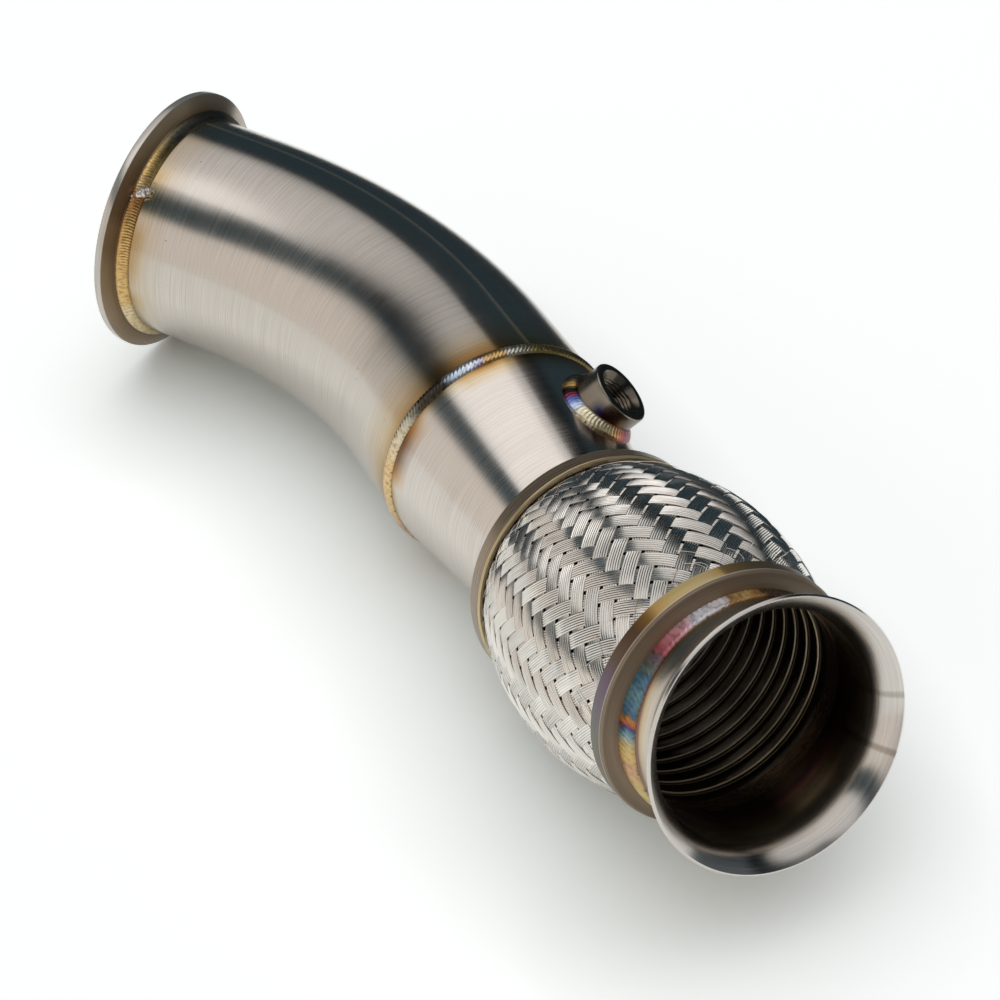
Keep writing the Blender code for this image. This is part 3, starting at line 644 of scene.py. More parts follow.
def bung(name, boss):
    """A boss whose section runs down its side, up its threaded bore and out over its mouth."""
    side = eased(np.array([(13.4, 11.8), (14.0, 11.2), (14.0, 8.0), (14.0, 0.0)]) * MM, 0.3 * MM)[2:-1]
    outside = np.concatenate((side, [(BUNG_RADIUS, -BUNG_FOOT), (BUNG_BORE, -BUNG_FOOT)]))
    mouth = np.array([(9.0, 9.8), (10.2, 11.3), (10.6, 11.75), (10.9, 11.8)]) * MM
    turns = 96
    heights = np.linspace(THREAD_LOW, THREAD_HIGH, 70)
    turn = np.linspace(0, 1, turns, endpoint=False)
    wave = (heights[:, None] / THREAD_PITCH - turn[None, :]) % 1
    thread = BUNG_BORE + THREAD_DEPTH * (1 - np.abs(2 * wave - 1))
    radius = np.concatenate((np.repeat(outside[:, :1], turns, 1), thread, np.repeat(mouth[:, :1], turns, 1)))
    height = np.concatenate((outside[:, 1], heights, mouth[:, 1]))
    v = lengths_of(np.stack((radius[:, 0], height), 1))
    return skin(name, rings_at(boss, radius, height, turns), v)


front_bung = bung("front_bung", front_boss)
rear_bung = bung("rear_bung", rear_boss)
print("Turns of thread in a bung:", round((THREAD_HIGH - THREAD_LOW) / THREAD_PITCH))


# %% True holes in the two walls
def drill(wall, boss):
    """Cut a bung's hole through the wall under it, and no further."""
    rings = rings_at(boss, [0.1 * MM, 13.9 * MM, 13.9 * MM, 0.1 * MM], np.array([-20, -20, 20, 20]) * MM, 64)
    cutter = skin("cutter", rings, [0, 0, 0, 0])
    hole = wall.modifiers.new("hole", "BOOLEAN")
    hole.operation = "DIFFERENCE"
    hole.solver = "EXACT"
    hole.object = cutter
    bpy.context.view_layer.update()
    cut = bpy.data.meshes.new_from_object(wall.evaluated_get(bpy.context.evaluated_depsgraph_get()))
    wall.modifiers.clear()
    wall.data = cut
    bpy.data.objects.remove(cutter, do_unlink=True)


def surface_of(piece):
    """A piece's surface, for finding what lies under a point."""
    mesh = piece.data
    return BVHTree.FromPolygons([v.co for v in mesh.vertices], [p.vertices for p in mesh.polygons])


cone_surface = surface_of(cone)
bend_surface = surface_of(bend)
drill(cone, front_boss)
drill(bend, rear_boss)
print("Faces left in cone and bend:", len(cone.data.polygons), len(bend.data.polygons))


# %% Beads round the bungs
def saddle(name, boss, wall, seed, leg=4.0 * MM, turns=640):
    """A fillet bead round a bung, whose outer foot follows the curved wall."""
    down = Vector(-axis_of(boss))

    def on_wall(radius):
        """A ring dropped from the bung's top onto the wall."""
        ring = ring_at(boss, radius, BUNG_HEIGHT, turns)
        return np.array([wall.ray_cast(Vector(point), down)[0] for point in ring])

    rings = between(on_wall(BUNG_RADIUS) + axis_of(boss) * leg * 0.9, on_wall(BUNG_RADIUS + leg), 11)
    outward = out_from(boss, turns) * 0.72 + axis_of(boss) * 0.69
    return bead(name, rings, outward, 0.8, 64, 0.2, slant=0.3, seed=seed)


front_bead = saddle("front_bung_bead", front_boss, cone_surface, 3)
rear_bead = saddle("rear_bung_bead", rear_boss, bend_surface, 4)

# %% [markdown]
# ## The flexible section's collars
# Two pressed rings clamp the braid, the bellows and the liner together. The upper one is a cup with a rolled
# lip, the lower one a skirt with a fine groove and a conical shoulder. Both are turned sections.

# %% Collars, neck and the bead at the cone's end
upper_collar = turned_piece("upper_collar_ring", COLLAR, [
    (51.6, 8.0), (52.5, 7.4), (52.5, 6.4), (52.2, 6.1), (52.2, 0.6), (51.6, 0.0), (36.5, 0.0), (36.5, 2.0),
    (50.2, 2.0), (50.2, 8.0),
])
lower_collar = turned_piece("lower_collar_ring", LOWER, [
    (45.4, 10.0), (51.6, 7.8), (51.6, 7.2), (52.2, 6.6), (52.2, 0.6), (51.6, 0.0), (50.2, 0.0), (50.2, 5.8),
    (45.4, 8.0),
])
sleeve = np.array([(45.1, 13.4), (45.1, 5.9), (43.7, 5.9), (43.7, 13.4)])
neck = skin("neck", rings_at(LOWER, sleeve[:, 0] * MM, sleeve[:, 1] * MM, RING_POINTS), sleeve[:, 1])
SHORT_WELD = 1200
CONE_LEG = 4.2 * MM
cone_foot = cone_ring(1 - CONE_LEG / CONE_LENGTH, SHORT_WELD)
collar_foot = ring_at(COLLAR, 42.4 * MM, -0.1 * MM, SHORT_WELD)
lean_back = out_from(COLLAR, SHORT_WELD) * 0.7 - axis_of(COLLAR) * 0.7
collar_bead = bead("collar_bead", between(collar_foot, cone_foot, 9), lean_back, 0.6, 220, seed=5)

# %% [markdown]
# ## The flared outlet
# The neck ends in a butt weld, and after it the outlet leans up a little more and opens into a flare that
# the next pipe's clamp grips. Its radius grows with the third power of the way along, which starts
# straight and ends steep, and the wall keeps its thickness round that curve.

# %% The outlet
NECK_RADIUS = 45.1 * MM
NECK_BORE = NECK_RADIUS - TUBE_WALL
FLARE_START = 11.5 * MM
FLARE_RUN = 16.8 * MM
FLARE_RISE = 7.7 * MM
outside = [(NECK_RADIUS, x) for x in np.linspace(0, FLARE_START, 8)[1:]]
inside = [(NECK_BORE, x) for x in np.linspace(0, FLARE_START, 8)[1:]]
for share in np.linspace(0, 1, 26)[1:]:
    slope = math.atan(3 * FLARE_RISE * share**2 / FLARE_RUN)
    radius, x = NECK_RADIUS + FLARE_RISE * share**3, FLARE_START + FLARE_RUN * share
    outside.append((radius, x))
    inside.append((radius - TUBE_WALL * math.cos(slope), x + TUBE_WALL * math.sin(slope)))
lip_out, lip_in = np.array(outside[-1]), np.array(inside[-1])
back = (lip_out - np.array(outside[-2])) * 0.35
rolled = [lip_out * (1 - t) + lip_in * t for t in (0.2, 0.5, 0.8)]
outside[-1] = lip_out - back
inside[-1] = lip_in - back
outline = np.array(outside + rolled + inside[::-1])
rings = rings_at(OUTLET, outline[:, 0], outline[:, 1], RING_POINTS)
first = [ring_at(SEAM, radius, 0.0, RING_POINTS) for radius in (NECK_BORE, NECK_RADIUS)]
v = np.concatenate((lengths_of(outline), (0.0, 0.0)))
v[-2] = v[-3] + FLARE_START / MM / 7
flare = skin("outlet_flare_skin", np.concatenate((rings, first)), v)
print("Flare's outline in mm:", round(v[-3], 1), "with its lip at", round(v[len(outside) + 1], 1))

# %% The outlet's bead
BEFORE_SEAM = 4.7 * MM
AFTER_SEAM = 6.6 * MM
WIDE_WELD = 1600
seam_ring = ring_at(SEAM, NECK_RADIUS, 0.0, WIDE_WELD)
far_ring = ring_at(OUTLET, NECK_RADIUS, FLARE_START, WIDE_WELD)
feet = [ring_at(SEAM, NECK_RADIUS, x, WIDE_WELD) for x in np.linspace(-BEFORE_SEAM, 0, 8)]
feet += [seam_ring + (far_ring - seam_ring) * x / FLARE_START for x in np.linspace(0, AFTER_SEAM, 10)[1:]]
outlet_bead = bead("outlet_bead", np.array(feet), out_from(SEAM, WIDE_WELD), 1.4, 135, 0.42, 0.5, 0.5, seed=6)

# %% [markdown]
# ## The liner
# Inside the flexible section runs an interlocked liner: one steel strip, folded at both edges and wound so
# that each turn hooks into the last and can still slide. From the outlet each turn shows as a pair of bright
# edges with dark steel between. A turned section with two small beads a turn gives the shape; the bright
# edges are painted highlights and the dark steel between them is painted shade.

# %% The liner's turns
LINER_TURNS = 13
LINER_START, LINER_END = 2.3, 102.6
LINER_PITCH = (LINER_END - LINER_START) / LINER_TURNS
fold = [
    (0.0, 44.6), (0.2, 44.15), (0.5, 44.0), (0.8, 44.15), (1.0, 44.6), (1.9, 44.7), (2.1, 44.3), (2.35, 44.2),
    (2.6, 44.3), (2.8, 44.9), (6.6, 45.2),
]
bore = [(radius, LINER_START + k * LINER_PITCH + along) for k in range(LINER_TURNS) for along, radius in fold]
bore = np.array((bore + [(44.6, LINER_END), (45.8, LINER_END), (45.8, LINER_START)])[::-1])
liner = skin("interlocked_liner", rings_at(COLLAR, bore[:, 0] * MM, bore[:, 1] * MM, 180), bore[:, 1])
print("Liner's pitch in mm:", round(LINER_PITCH, 2))

# %% [markdown]
# ## The woven braid
# The flexible section's jacket is braided from flat strands, each of several fine stainless wires side by
# side. Half of the strands run round to the right, half to the left, and each goes over two and under two.
# Crossings sit on a lattice: columns round the barrel, rows along it, where a strand moves on by one column
# and one row. Its height above the barrel is a wave with a period of four columns, and the other way's wave
# is its mirror, so the strands can't meet. Each strand is a swept section with a ridge for each wire. The
# real wires, about 0.4 mm thick, are too fine to show, so a strand has six coarser ones. Under the strands
# lies a near-black bed, painted shade, which keeps the gaps between them dark.

# %% The barrel and the lattice
STRANDS = 36
ROWS = 22
FIRST_COLUMN = math.radians(-5.9)
COLUMN_STEP = math.pi / STRANDS
ROW_LENGTH = FREE_LENGTH / ROWS
BRAID_END = 49.9 * MM
BULGE = 9.7 * MM
WIRES = 6
WIRE_RISE = 0.21 * MM
STRAND_WALL = 0.42 * MM
WAVE = 0.34 * MM
CLEARANCE = 0.26 * MM
COVER = 0.85


def barrel(along):
    """The braid's outer radius at a distance after the upper collar's lip."""
    share = np.clip(along / FREE_LENGTH, 0, 1)
    return BRAID_END + BULGE * np.sin(math.pi * share) ** 0.8


def wave_of(columns, rows, way):
    """How high a strand rides: up where it crosses over two others, down where it goes under two."""
    strand = (columns - way * rows - 1) / 2
    other = (columns + way * rows - 1) / 2
    crossing = np.round(strand) + other
    return way * np.clip(1.7 * np.cos(math.pi / 2 * (crossing - 0.5)), -1, 1)


print("The barrel is", round(barrel(FREE_LENGTH / 2) / MM * 2, 1), "mm across at its middle")


# %% Strands of one way
def strand_section():
    """Places across a strand from -1 to 1 and heights above its middle, along the ridges and back under."""
    across = np.linspace(-1, 1, 2 * WIRES + 1)
    ridge = np.where(np.arange(2 * WIRES + 1) % 2 == 1, WIRE_RISE, 0.0)
    top = ridge + 0.10 * MM * (1 - across**2)
    return np.concatenate((across, (1.0, -1.0))), np.concatenate((top, (-STRAND_WALL, -STRAND_WALL)))


def strands(name, way, seed):
    """All the strands of one way, way 1 for those that move on to the left and -1 to the right."""
    across, height = strand_section()
    row = np.linspace(-0.5, ROWS + 0.5, 3 * (ROWS + 1) + 1)
    random = np.random.default_rng(seed)
    quads, us, steps = faces_between(len(row) - 1, len(across))
    corners = slice(None) if way > 0 else slice(None, None, -1)
    points, faces, uvs = [], [], []
    for strand in range(STRANDS):
        middle = way * row + 2 * strand + 1
        sideways = barrel(row * ROW_LENGTH) * COLUMN_STEP
        length = np.hypot(sideways, ROW_LENGTH)
        half = COVER * sideways * ROW_LENGTH / length * (1 + 0.02 * random.normal())
        offset = across[None, :] * half[:, None]
        rows = row[:, None] - way * offset * (sideways / length / ROW_LENGTH)[:, None]
        columns = middle[:, None] + offset * (ROW_LENGTH / length / sideways)[:, None]
        along = rows * ROW_LENGTH
        sunk = WAVE + CLEARANCE + 0.04 * MM * random.random()
        radius = barrel(along) + WAVE * wave_of(columns, rows, way) + height[None, :] - sunk
        angle = FIRST_COLUMN + columns * COLUMN_STEP
        grid = to_world(COLLAR, radius * np.sin(angle), radius * np.cos(angle), along + COLLAR_WIDTH)
        faces.append((quads + strand * along.size)[:, corners])
        uvs.append(np.stack((us * 0.98 + strand, steps * (length.mean() / MM / 3)), -1)[:, corners])
        points.append(np.clip(grid, cad_low, cad_high).reshape(-1, 3))
    return mesh_from(name, np.concatenate(points), np.concatenate(faces), np.concatenate(uvs))


left_strands = strands("braid_left_way", 1, 7)
right_strands = strands("braid_right_way", -1, 8)
print("Braid faces:", len(left_strands.data.polygons), len(right_strands.data.polygons))

# %% The dark bed under the strands, painted shade
share = np.linspace(0, 1, 45)
crown = np.stack(((barrel(share * FREE_LENGTH) - 1.5 * MM) / MM, 8 + 89 * share), 1)
bed = np.concatenate(([(49.0, 4.0)], crown, [(49.0, 101.0), (48.0, 101.0), (48.0, 4.0)]))
shade_bed = skin("braid_shade_bed", rings_at(COLLAR, bed[:, 0] * MM, bed[:, 1] * MM, 144), bed[:, 1])
print("The bed is", round(crown[:, 0].max(), 1), "mm in radius at its widest")

# %% [markdown]
# Where the strands dive under the collars some wires have sprung out. Each is a thin four-sided tube along a
# short line that lifts off the braid a little. A random generator with a fixed seed places them, so they are
# the same in every run.


# %% Sprung wires at both ends
def loose_wires(name, number, seed):
    """Thin wires that lie a little above the braid near its two ends."""
    random = np.random.default_rng(seed)
    sides, us, rows = faces_between(6, 4)
    quads = np.concatenate((sides, [(3, 2, 1, 0), (24, 25, 26, 27)]))
    uv = np.concatenate((np.stack((us / 10, rows), -1), np.tile((0.02, 0.0), (2, 4, 1))))
    thick = 0.11 * MM
    points = []
    for wire_number in range(number):
        far_end = random.random() < 0.35
        start = (0.2 + 3.0 * random.random()) * MM
        reach = (4 + 7 * random.random()) * MM
        steps = np.linspace(0, 1, 7)
        along = start + reach * steps
        turn = random.random() * math.tau
        lean = random.choice((-1, 1)) * (0.8 + 0.5 * random.random())
        if far_end:
            along = FREE_LENGTH - along
        angle = turn + lean * reach * steps / BRAID_END + 0.02 * np.sin(3 * steps)
        lift = (0.1 + (0.3 + 0.5 * random.random()) * np.sin(math.pi * steps * 0.8)) * MM
        radius = barrel(along) + lift
        line = to_world(COLLAR, radius * np.sin(angle), radius * np.cos(angle), along + COLLAR_WIDTH)
        outward = to_world(COLLAR, np.sin(angle), np.cos(angle), 0 * angle) - np.array(COLLAR)[:3, 3]
        side = np.cross(np.gradient(line, axis=0), outward)
        side /= np.linalg.norm(side, axis=1)[:, None]
        tube = np.stack([line + way * thick for way in (side, outward, -side, -outward)], 1)
        points.append(np.clip(tube, cad_low, cad_high).reshape(-1, 3))
    faces = [quads + 28 * wire_number for wire_number in range(number)]
    return mesh_from(name, np.concatenate(points), np.concatenate(faces), np.tile(uv, (number, 1, 1)))


sprung = loose_wires("sprung_wires", 130, 12)
print("Sprung wires:", len(sprung.data.polygons), "faces")

# %% [markdown]
# ## Spatter beside the flange weld
# A welder's tack left a bright blob across the bead, and a few small drops of metal beside it. Each is a
# slightly uneven ball, partly sunk in the steel.


# %% Drops of metal
def drops(name, place, spots):
    """Balls of metal. A spot is a clock angle in degrees, then radius, distance along and size in mm."""
    rows, width = 13, 24
    dip = np.linspace(0.06, math.pi - 0.06, rows)[:, None]
    turn = np.linspace(0, math.tau, width, endpoint=False)
    ball = np.stack((np.sin(dip) * np.cos(turn), np.sin(dip) * np.sin(turn), np.cos(dip) + 0 * turn), -1)
    quads, us, steps = faces_between(rows - 1, width)
    # The ball's faces look outwards when their corners run the other way
    quads = np.roll(quads[:, ::-1], 1, 1)
    uv = np.roll(np.stack((us, steps / (rows - 1)), -1)[:, ::-1], 1, 1)
    points = []
    for degrees, radius, along, size in spots:
        angle = math.radians(degrees)
        spot = np.array((radius * math.sin(angle), radius * math.cos(angle), along)) * MM
        uneven = 1 + 0.12 * np.sin(3 * turn + size * 7)[None, :, None]
        points.append((to_world(place, *spot) + ball * uneven * size * MM).reshape(-1, 3))
    faces = [quads + rows * width * number for number in range(len(spots))]
    return mesh_from(name, np.concatenate(points), np.concatenate(faces), np.tile(uv, (len(spots), 1, 1)))


spatter = drops("flange_spatter", FLANGE, (
    (-45.0, 52.9, 11.0, 2.1), (-46.5, 53.6, 9.7, 1.7), (-43.7, 52.2, 12.3, 1.6), (-40.0, 54.0, 7.4, 0.5),
    (-48.5, 54.3, 7.2, 0.6), (-50.5, 54.2, 7.4, 0.4), (-38.0, 51.0, 12.6, 0.3), (-33.0, 54.2, 7.3, 0.4),
    (-42.0, 50.9, 14.0, 0.35), (-30.0, 53.9, 7.5, 0.35),
))
print("Drops' faces:", len(spatter.data.polygons))

# %% [markdown]
# ## Weld colours
# A fresh bead is bright, but each stretch of it cooled under a different oxide: cream and gold where the gas
# kept the air off, pink, violet and teal where it didn't. The colours change along the weld, so a ramp on U
# lays them round the pipe. The mid weld's ramp also holds a painted dark reflection and a painted highlight.
# Noise gives each crescent a tone of its own, and the feet are darker, where soot and oxide gather. The
# ripples themselves are in the mesh.


# %% A weld finish
def weld_finish(name, round_tints, ripples, roughness=0.28, metal=0.95):
    """TIG-welded stainless whose oxide colours, and any painted reflections among them, follow the turn round
    the weld.
    """
    material, tree, shader, surface, parts = new_finish(name)
    # The noise has one cell for each crescent, and slower noise moves the colours' borders
    cells = patches(tree, surface, ripples, 1.2)
    slow = patches(tree, surface, ripples * 0.08, 0.9)
    shift = add(tree, "MapRange", {"Value": slow, "To Min": -0.012, "To Max": 0.012})
    moved = add(tree, "Math", {0: parts, 1: shift}, operation="ADD")
    oxide_and_reflection = add(tree, "ValToRGB", {"Fac": moved}, stops=round_tints)
    tone = add(tree, "ValToRGB", {"Fac": cells}, stops=[(0.25, "#A79C92"), (0.55, WHITE), (1.0, WHITE)])
    toned = add(tree, "Mix", {FIRST: oxide_and_reflection, SECOND: tone, SHARE: 0.8}, **TIMES)
    # V is -1 and 1 at the feet
    side = add(tree, "Math", {0: parts.outputs["Y"]}, operation="ABSOLUTE")
    rough_side = add(tree, "Math", {0: side, 1: cells}, operation="MULTIPLY")
    foot = add(tree, "MapRange", {"Value": rough_side, "From Min": 0.42, "From Max": 0.62})
    gloss = add(tree, "MapRange", {"Value": cells, "To Min": roughness - 0.06, "To Max": roughness + 0.12})
    feed(tree, shader, {
        "Base Color": add(tree, "Mix", {FIRST: toned, SECOND: linear("#7A6248"), SHARE: foot}, **BLENDED),
        "Metallic": metal,
        "Roughness": gloss,
    })
    print(f"{name}: {len(round_tints)} colours round the weld")
    return material


# %% The five weld finishes
flange_weld = weld_finish("tig_bead_gold", turns_to([
    (-180, "#8C7F6A"), (-132, "#E9D3A4"), (-112, "#EBD8B0"), (-105, "#DDBB80"), (-62, "#D8AC6C"),
    (-50, "#C48E58"), (-46.5, "#B88658"), (-43.5, "#EBD09A"), (-40, "#EBC684"), (-30, "#E4C07A"),
    (-22, "#A08A5C"), (-12, "#6E6A5C"), (30, "#5E5B55"), (180, "#8C7F6A"),
]), 250)
# The charcoal from -48 to -34 degrees is a painted dark reflection and the pale blue and white from -30 to
# -15 degrees a painted highlight; the colours round them are oxide
mid_weld = weld_finish("tig_bead_cream", turns_to([
    (-180, "#B0A084"), (-125, "#D9B9A0"), (-100, "#E6C694"), (-82, "#E2C492"), (-72, "#E6D6B4"),
    (-58, "#CFC8B4"), (-48, "#5A5244"), (-34, "#3E3630"), (-30, "#B9C6D6"), (-20, "#E8F0FA"),
    (-15, "#C9B8D6"), (-12, "#E0B878"), (-3, "#D8AE6E"), (0, "#D6D2C6"), (7, "#C8C2B0"), (12, "#B39C62"),
    (45, "#86744A"), (180, "#B0A084"),
]), 180)
outlet_weld = weld_finish("tig_bead_rainbow", turns_to([
    (-180, "#D8C07E"), (-140, "#EAD58E"), (-118, "#EBCF7C"), (-104, "#E8B58A"), (-97, "#EBC77A"),
    (-89, "#D9C084"), (-86.5, "#8FB6BC"), (-83, "#5A8098"), (-81.5, "#3E3878"), (-80, "#C0543C"),
    (-78, "#D8923C"), (-76.2, "#8A6A34"), (-75, "#3C6E96"), (-66, "#6C949C"), (-58, "#4F7E9C"),
    (-53, "#6A7870"), (-46, "#76606A"), (-43, "#B85C66"), (-34, "#DC949C"), (-28, "#F0C4CC"),
    (-24, "#EEF2FF"), (-14, "#FFFAFF"), (-6.5, "#FFF4F8"), (-5, "#B98A54"), (3, "#E2BC7C"), (10, "#B5824A"),
    (13, "#5A4230"), (40, "#3E3630"), (180, "#D8C07E"),
]), 135, roughness=0.3, metal=0.3)
bung_weld = weld_finish("tig_bead_blued", [
    (0.0, "#6A6458"), (0.2, "#C8AC7C"), (0.36, "#9A7A5A"), (0.43, "#8C5A72"), (0.47, "#A8605C"),
    (0.51, "#D89A70"), (0.55, "#F2DCA8"), (0.62, "#FFF2D0"), (0.675, "#F4E6C4"), (0.71, "#B8C8E8"),
    (0.74, "#4A64B0"), (0.76, "#8A3A4A"), (0.78, "#1C1A20"), (0.80, "#2A2624"), (0.82, "#E0B060"),
    (0.86, "#6A6458"), (1.0, "#6A6458"),
], 64)
collar_browns = [(0.0, "#7C6A50"), (0.4, "#A0875E"), (0.6, "#6E5C48"), (1.0, "#7C6A50")]
collar_weld = weld_finish("tig_bead_brown", collar_browns, 220, roughness=0.3)

# %% [markdown]
# ## Braided wire
# The braid is bright drawn 304 wire about 0.4 mm thick. Drawing leaves it smooth along its length, so it
# glints in short streaks. The grooves between wires are painted darker, as shade, and each strand came off
# its own bobbin, which gives it a tone of its own. On the braid's map U counts strands, so its whole part is
# the strand's number and the rest is the place across the strand.

# %% The wire finish
wire, tree, shader, surface, parts = new_finish("drawn_304_wire")
strand_number = add(tree, "Math", {0: parts}, operation="FLOOR")
strand_tone = add(tree, "TexWhiteNoise", {"W": strand_number}, noise_dimensions="1D")
across_strand = add(tree, "Math", {0: parts}, operation="FRACT")
# A sine that is 0 in every groove: the strand's outline has two points a wire and three more
ridges = add(tree, "Math", {0: across_strand, 1: math.pi / 2 * (2 * WIRES + 3) / 0.98}, operation="MULTIPLY")
ridge_wave = add(tree, "Math", {0: ridges}, operation="SINE")
groove = add(tree, "Math", {0: ridge_wave}, operation="ABSOLUTE")
# The grooves between wires are painted darker, as shade
groove_shade = add(tree, "ValToRGB", {"Fac": groove}, stops=[(0.0, "#A8A49E"), (0.3, "#F4F2EE"), (1.0, WHITE)])
# Streaks 0.4 mm wide and some 12 mm long
streaks = patches(tree, surface, 14.0, 0.08, 3.0)
brights = [(0.3, "#D6D0C8"), (0.5, "#EFEAE4"), (0.75, "#FBF8F4")]
bright = add(tree, "ValToRGB", {"Fac": streaks}, stops=brights)
streaked_and_groove_shaded = add(tree, "Mix", {FIRST: bright, SECOND: groove_shade, SHARE: 1.0}, **TIMES)
dull = add(tree, "MapRange", {"Value": strand_tone, "To Min": 0.78, "To Max": 1.0})
feed(tree, shader, {
    "Base Color": add(tree, "Mix", {FIRST: streaked_and_groove_shaded, SECOND: dull, SHARE: 1.0}, **TIMES),
    "Metallic": 1.0,
    "Roughness": add(tree, "MapRange", {"Value": streaks, "To Min": 0.14, "To Max": 0.3}),
    "Anisotropic": 0.4,
    "Tangent": add(tree, "Tangent", direction_type="UV_MAP", uv_map="Surface"),
})
print("Nodes in the wire's finish:", len(tree.nodes))

# %% [markdown]
# ## The other steels
# The remaining pieces share the brushed finish with their own colours and tints. The cone is brushed, with
# gold beside its welds. The collars were heated from both sides and went brown, with a gold lip, along which
# a line is painted bright as a highlight; the lower collar's gold band near its top is brightened into a
# painted highlight. The bungs are turned bar, painted darker down the bore as shade. The flare is brushed,
# with straw beside the weld and purple deep inside.

# %% The cone's finish
cone_tints = [
    (0.0, "#8A6E48"), (0.02, "#DCC69A"), (0.045, "#F6EEDC"), (0.08, "#FFFDF8"), (0.14, WHITE), (0.80, WHITE),
    (0.88, "#F8EEDA"), (0.95, "#E2CA9A"), (1.0, "#A08C68"),
]
cone_steel = steel_finish("brushed_304_cone", "#D2CAC2", 0.2, cone_tints, (2.0, 80.5), girth=280.0)
tint_round(cone_steel, turns_to([
    (-180, WHITE), (-92, WHITE), (-84, "#D8A860"), (-76, "#8A6A5C"), (-66, "#9A7060"), (-58, "#D8A860"),
    (-50, WHITE), (-30, WHITE), (-24, "#F2DAAE"), (-4, "#F2DAAE"), (8, "#C8BCA0"), (40, "#C4B69C"),
    (70, WHITE),
]), -2.0, 9.0, strength=0.85, soft=4.0)
tint_round(cone_steel, turns_to([
    (-180, WHITE), (12, WHITE), (30, "#B8A48C"), (52, "#A88468"), (80, WHITE),
]), 34.0, 84.0, strength=0.6, soft=10.0)

# %% The collars' finishes, and the neck's
# The bright cream line at the lip is a painted highlight on the gold heat tint
upper_tints = [
    (0.0, "#6E5E48"), (0.01, "#F6E6BC"), (0.026, "#FFF2CC"), (0.034, "#A8926C"), (0.05, "#AC9C8A"),
    (0.17, "#B4A494"), (0.19, "#C4B49C"), (0.5, "#A89678"), (1.0, "#8C8072"),
]
upper_steel = steel_finish(
    "heat_browned_304_collar_with_lip_highlight", "#DAD2C8", 0.27, upper_tints, (0.0, 46.0), 328.0, 0.3, 0.2, metal=0.6,
)
lower_tints = [
    (0.0, "#A08C78"), (0.10, "#A08E7A"), (0.20, "#8C7C6A"), (0.225, "#A89884"), (0.262, "#A89884"),
    (0.27, WHITE), (0.48, WHITE), (0.5, "#8C7B66"), (1.0, "#8C7B66"),
]
lower_steel = steel_finish(
    "heat_tinted_304_collar_with_painted_highlight", "#E6E0D8", 0.42, lower_tints, (0.0, 29.4), 328.0, 0.4, 0.15, metal=0.3,
)
# From -37 to -3 degrees the gold heat tint is brightened into a painted highlight
tint_round(lower_steel, turns_to([
    (-180, "#8A7A68"), (-110, "#8C7E70"), (-90, "#8A8C88"), (-78, "#8C8090"), (-66, "#84708A"),
    (-58, "#76604C"), (-44, "#6E5034"), (-37, "#A87C3C"), (-32, "#FFD488"), (-24, "#FFE6A4"), (-8, "#FFE8AC"),
    (-3, "#F8D48A"), (-1, "#9A8250"), (12, "#76694E"), (60, "#6E6252"), (180, "#8A7A68"),
]), 8.0, 14.2)
neck_browns = [(0.0, "#B09A80"), (1.0, "#84705C")]
neck_steel = steel_finish("heat_browned_304_neck", "#DAD2C8", 0.27, neck_browns, (5.9, 13.4), wander=0.3)

# %% The flare's finish
flare_tints = [
    (0.0, "#B49058"), (0.10, "#A07C50"), (0.115, "#9A6A88"), (0.13, "#E2C48C"), (0.16, "#F2E6D0"),
    (0.24, "#FBF6EE"), (0.45, WHITE), (0.52, WHITE), (0.72, "#F6F2EC"), (0.80, "#CDBFA6"), (0.86, "#9C8E74"),
    (0.91, "#7E7460"), (0.95, "#8A5E52"), (0.98, "#6E4A56"), (1.0, "#5A4A40"),
]
flare_steel = steel_finish(
    "brushed_304_flare", "#D2CCC6", 0.2, flare_tints, (0.0, 62.0), girth=290.0, wander=0.5,
)
# Two rubbed marks run across the flare's inside
marks = [(0.0, WHITE)]
for turn in (0.745, 0.815):
    marks += [(turn - 0.0035, WHITE), (turn - 0.002, "#8E8478"), (turn, WHITE)]
    marks += [(turn + 0.002, "#9A9084"), (turn + 0.0035, WHITE)]
tint_round(flare_steel, marks, 29.0, 60.0, strength=0.8)

# %% The finishes of bungs, bed, bellows and tack
PLAIN = [(0.0, WHITE), (1.0, WHITE)]
# Darker from the bung's foot down into the threaded bore: painted shade in the hole
bung_tints_and_bore_shade = [(0.0, "#E8E4DE"), (0.25, "#D8CFC4"), (0.4, "#A08E80"), (1.0, "#ADA7A0")]
bung_steel = steel_finish("turned_304_bung", "#9C968E", 0.24, bung_tints_and_bore_shade, (0.0, 44.0), 88.0, 0.3, 0.4)
tint_round(bung_steel, [
    (0.0, WHITE), (0.50, WHITE), (0.555, "#E0945A"), (0.60, "#8A4AA0"), (0.64, "#4A5CA8"), (0.69, WHITE),
], 4.0, 13.0, strength=1.0, soft=2.5)
# The bed's near-black colour is painted shade for the gaps between the braid's strands
shade_bed_steel = steel_finish("braid_gap_shade_bed", "#1A1816", 0.6, PLAIN, (0.0, 1.0), shine=0.0)
bellows_steel = steel_finish("formed_304_bellows", "#8E8880", 0.3, PLAIN, (0.0, 1.0), shine=0.0)
tack_tints = [(0.0, WHITE), (1.0, "#E8E0D8")]
tack_steel = steel_finish(
    "bright_304_tack", "#F4F2F0", 0.16, tack_tints, (0.0, 1.0), 10.0, 0.0, 0.2, metal=0.6,
)

# %% [markdown]
# The liner's steel is painted near-black between its turns, as shade, and bright on its edges, as highlights.
# Dividing V by the pitch and keeping the fraction gives the place within a turn, and a ramp on that lays the
# painted highlights on the mesh's small beads and the painted shade between them.

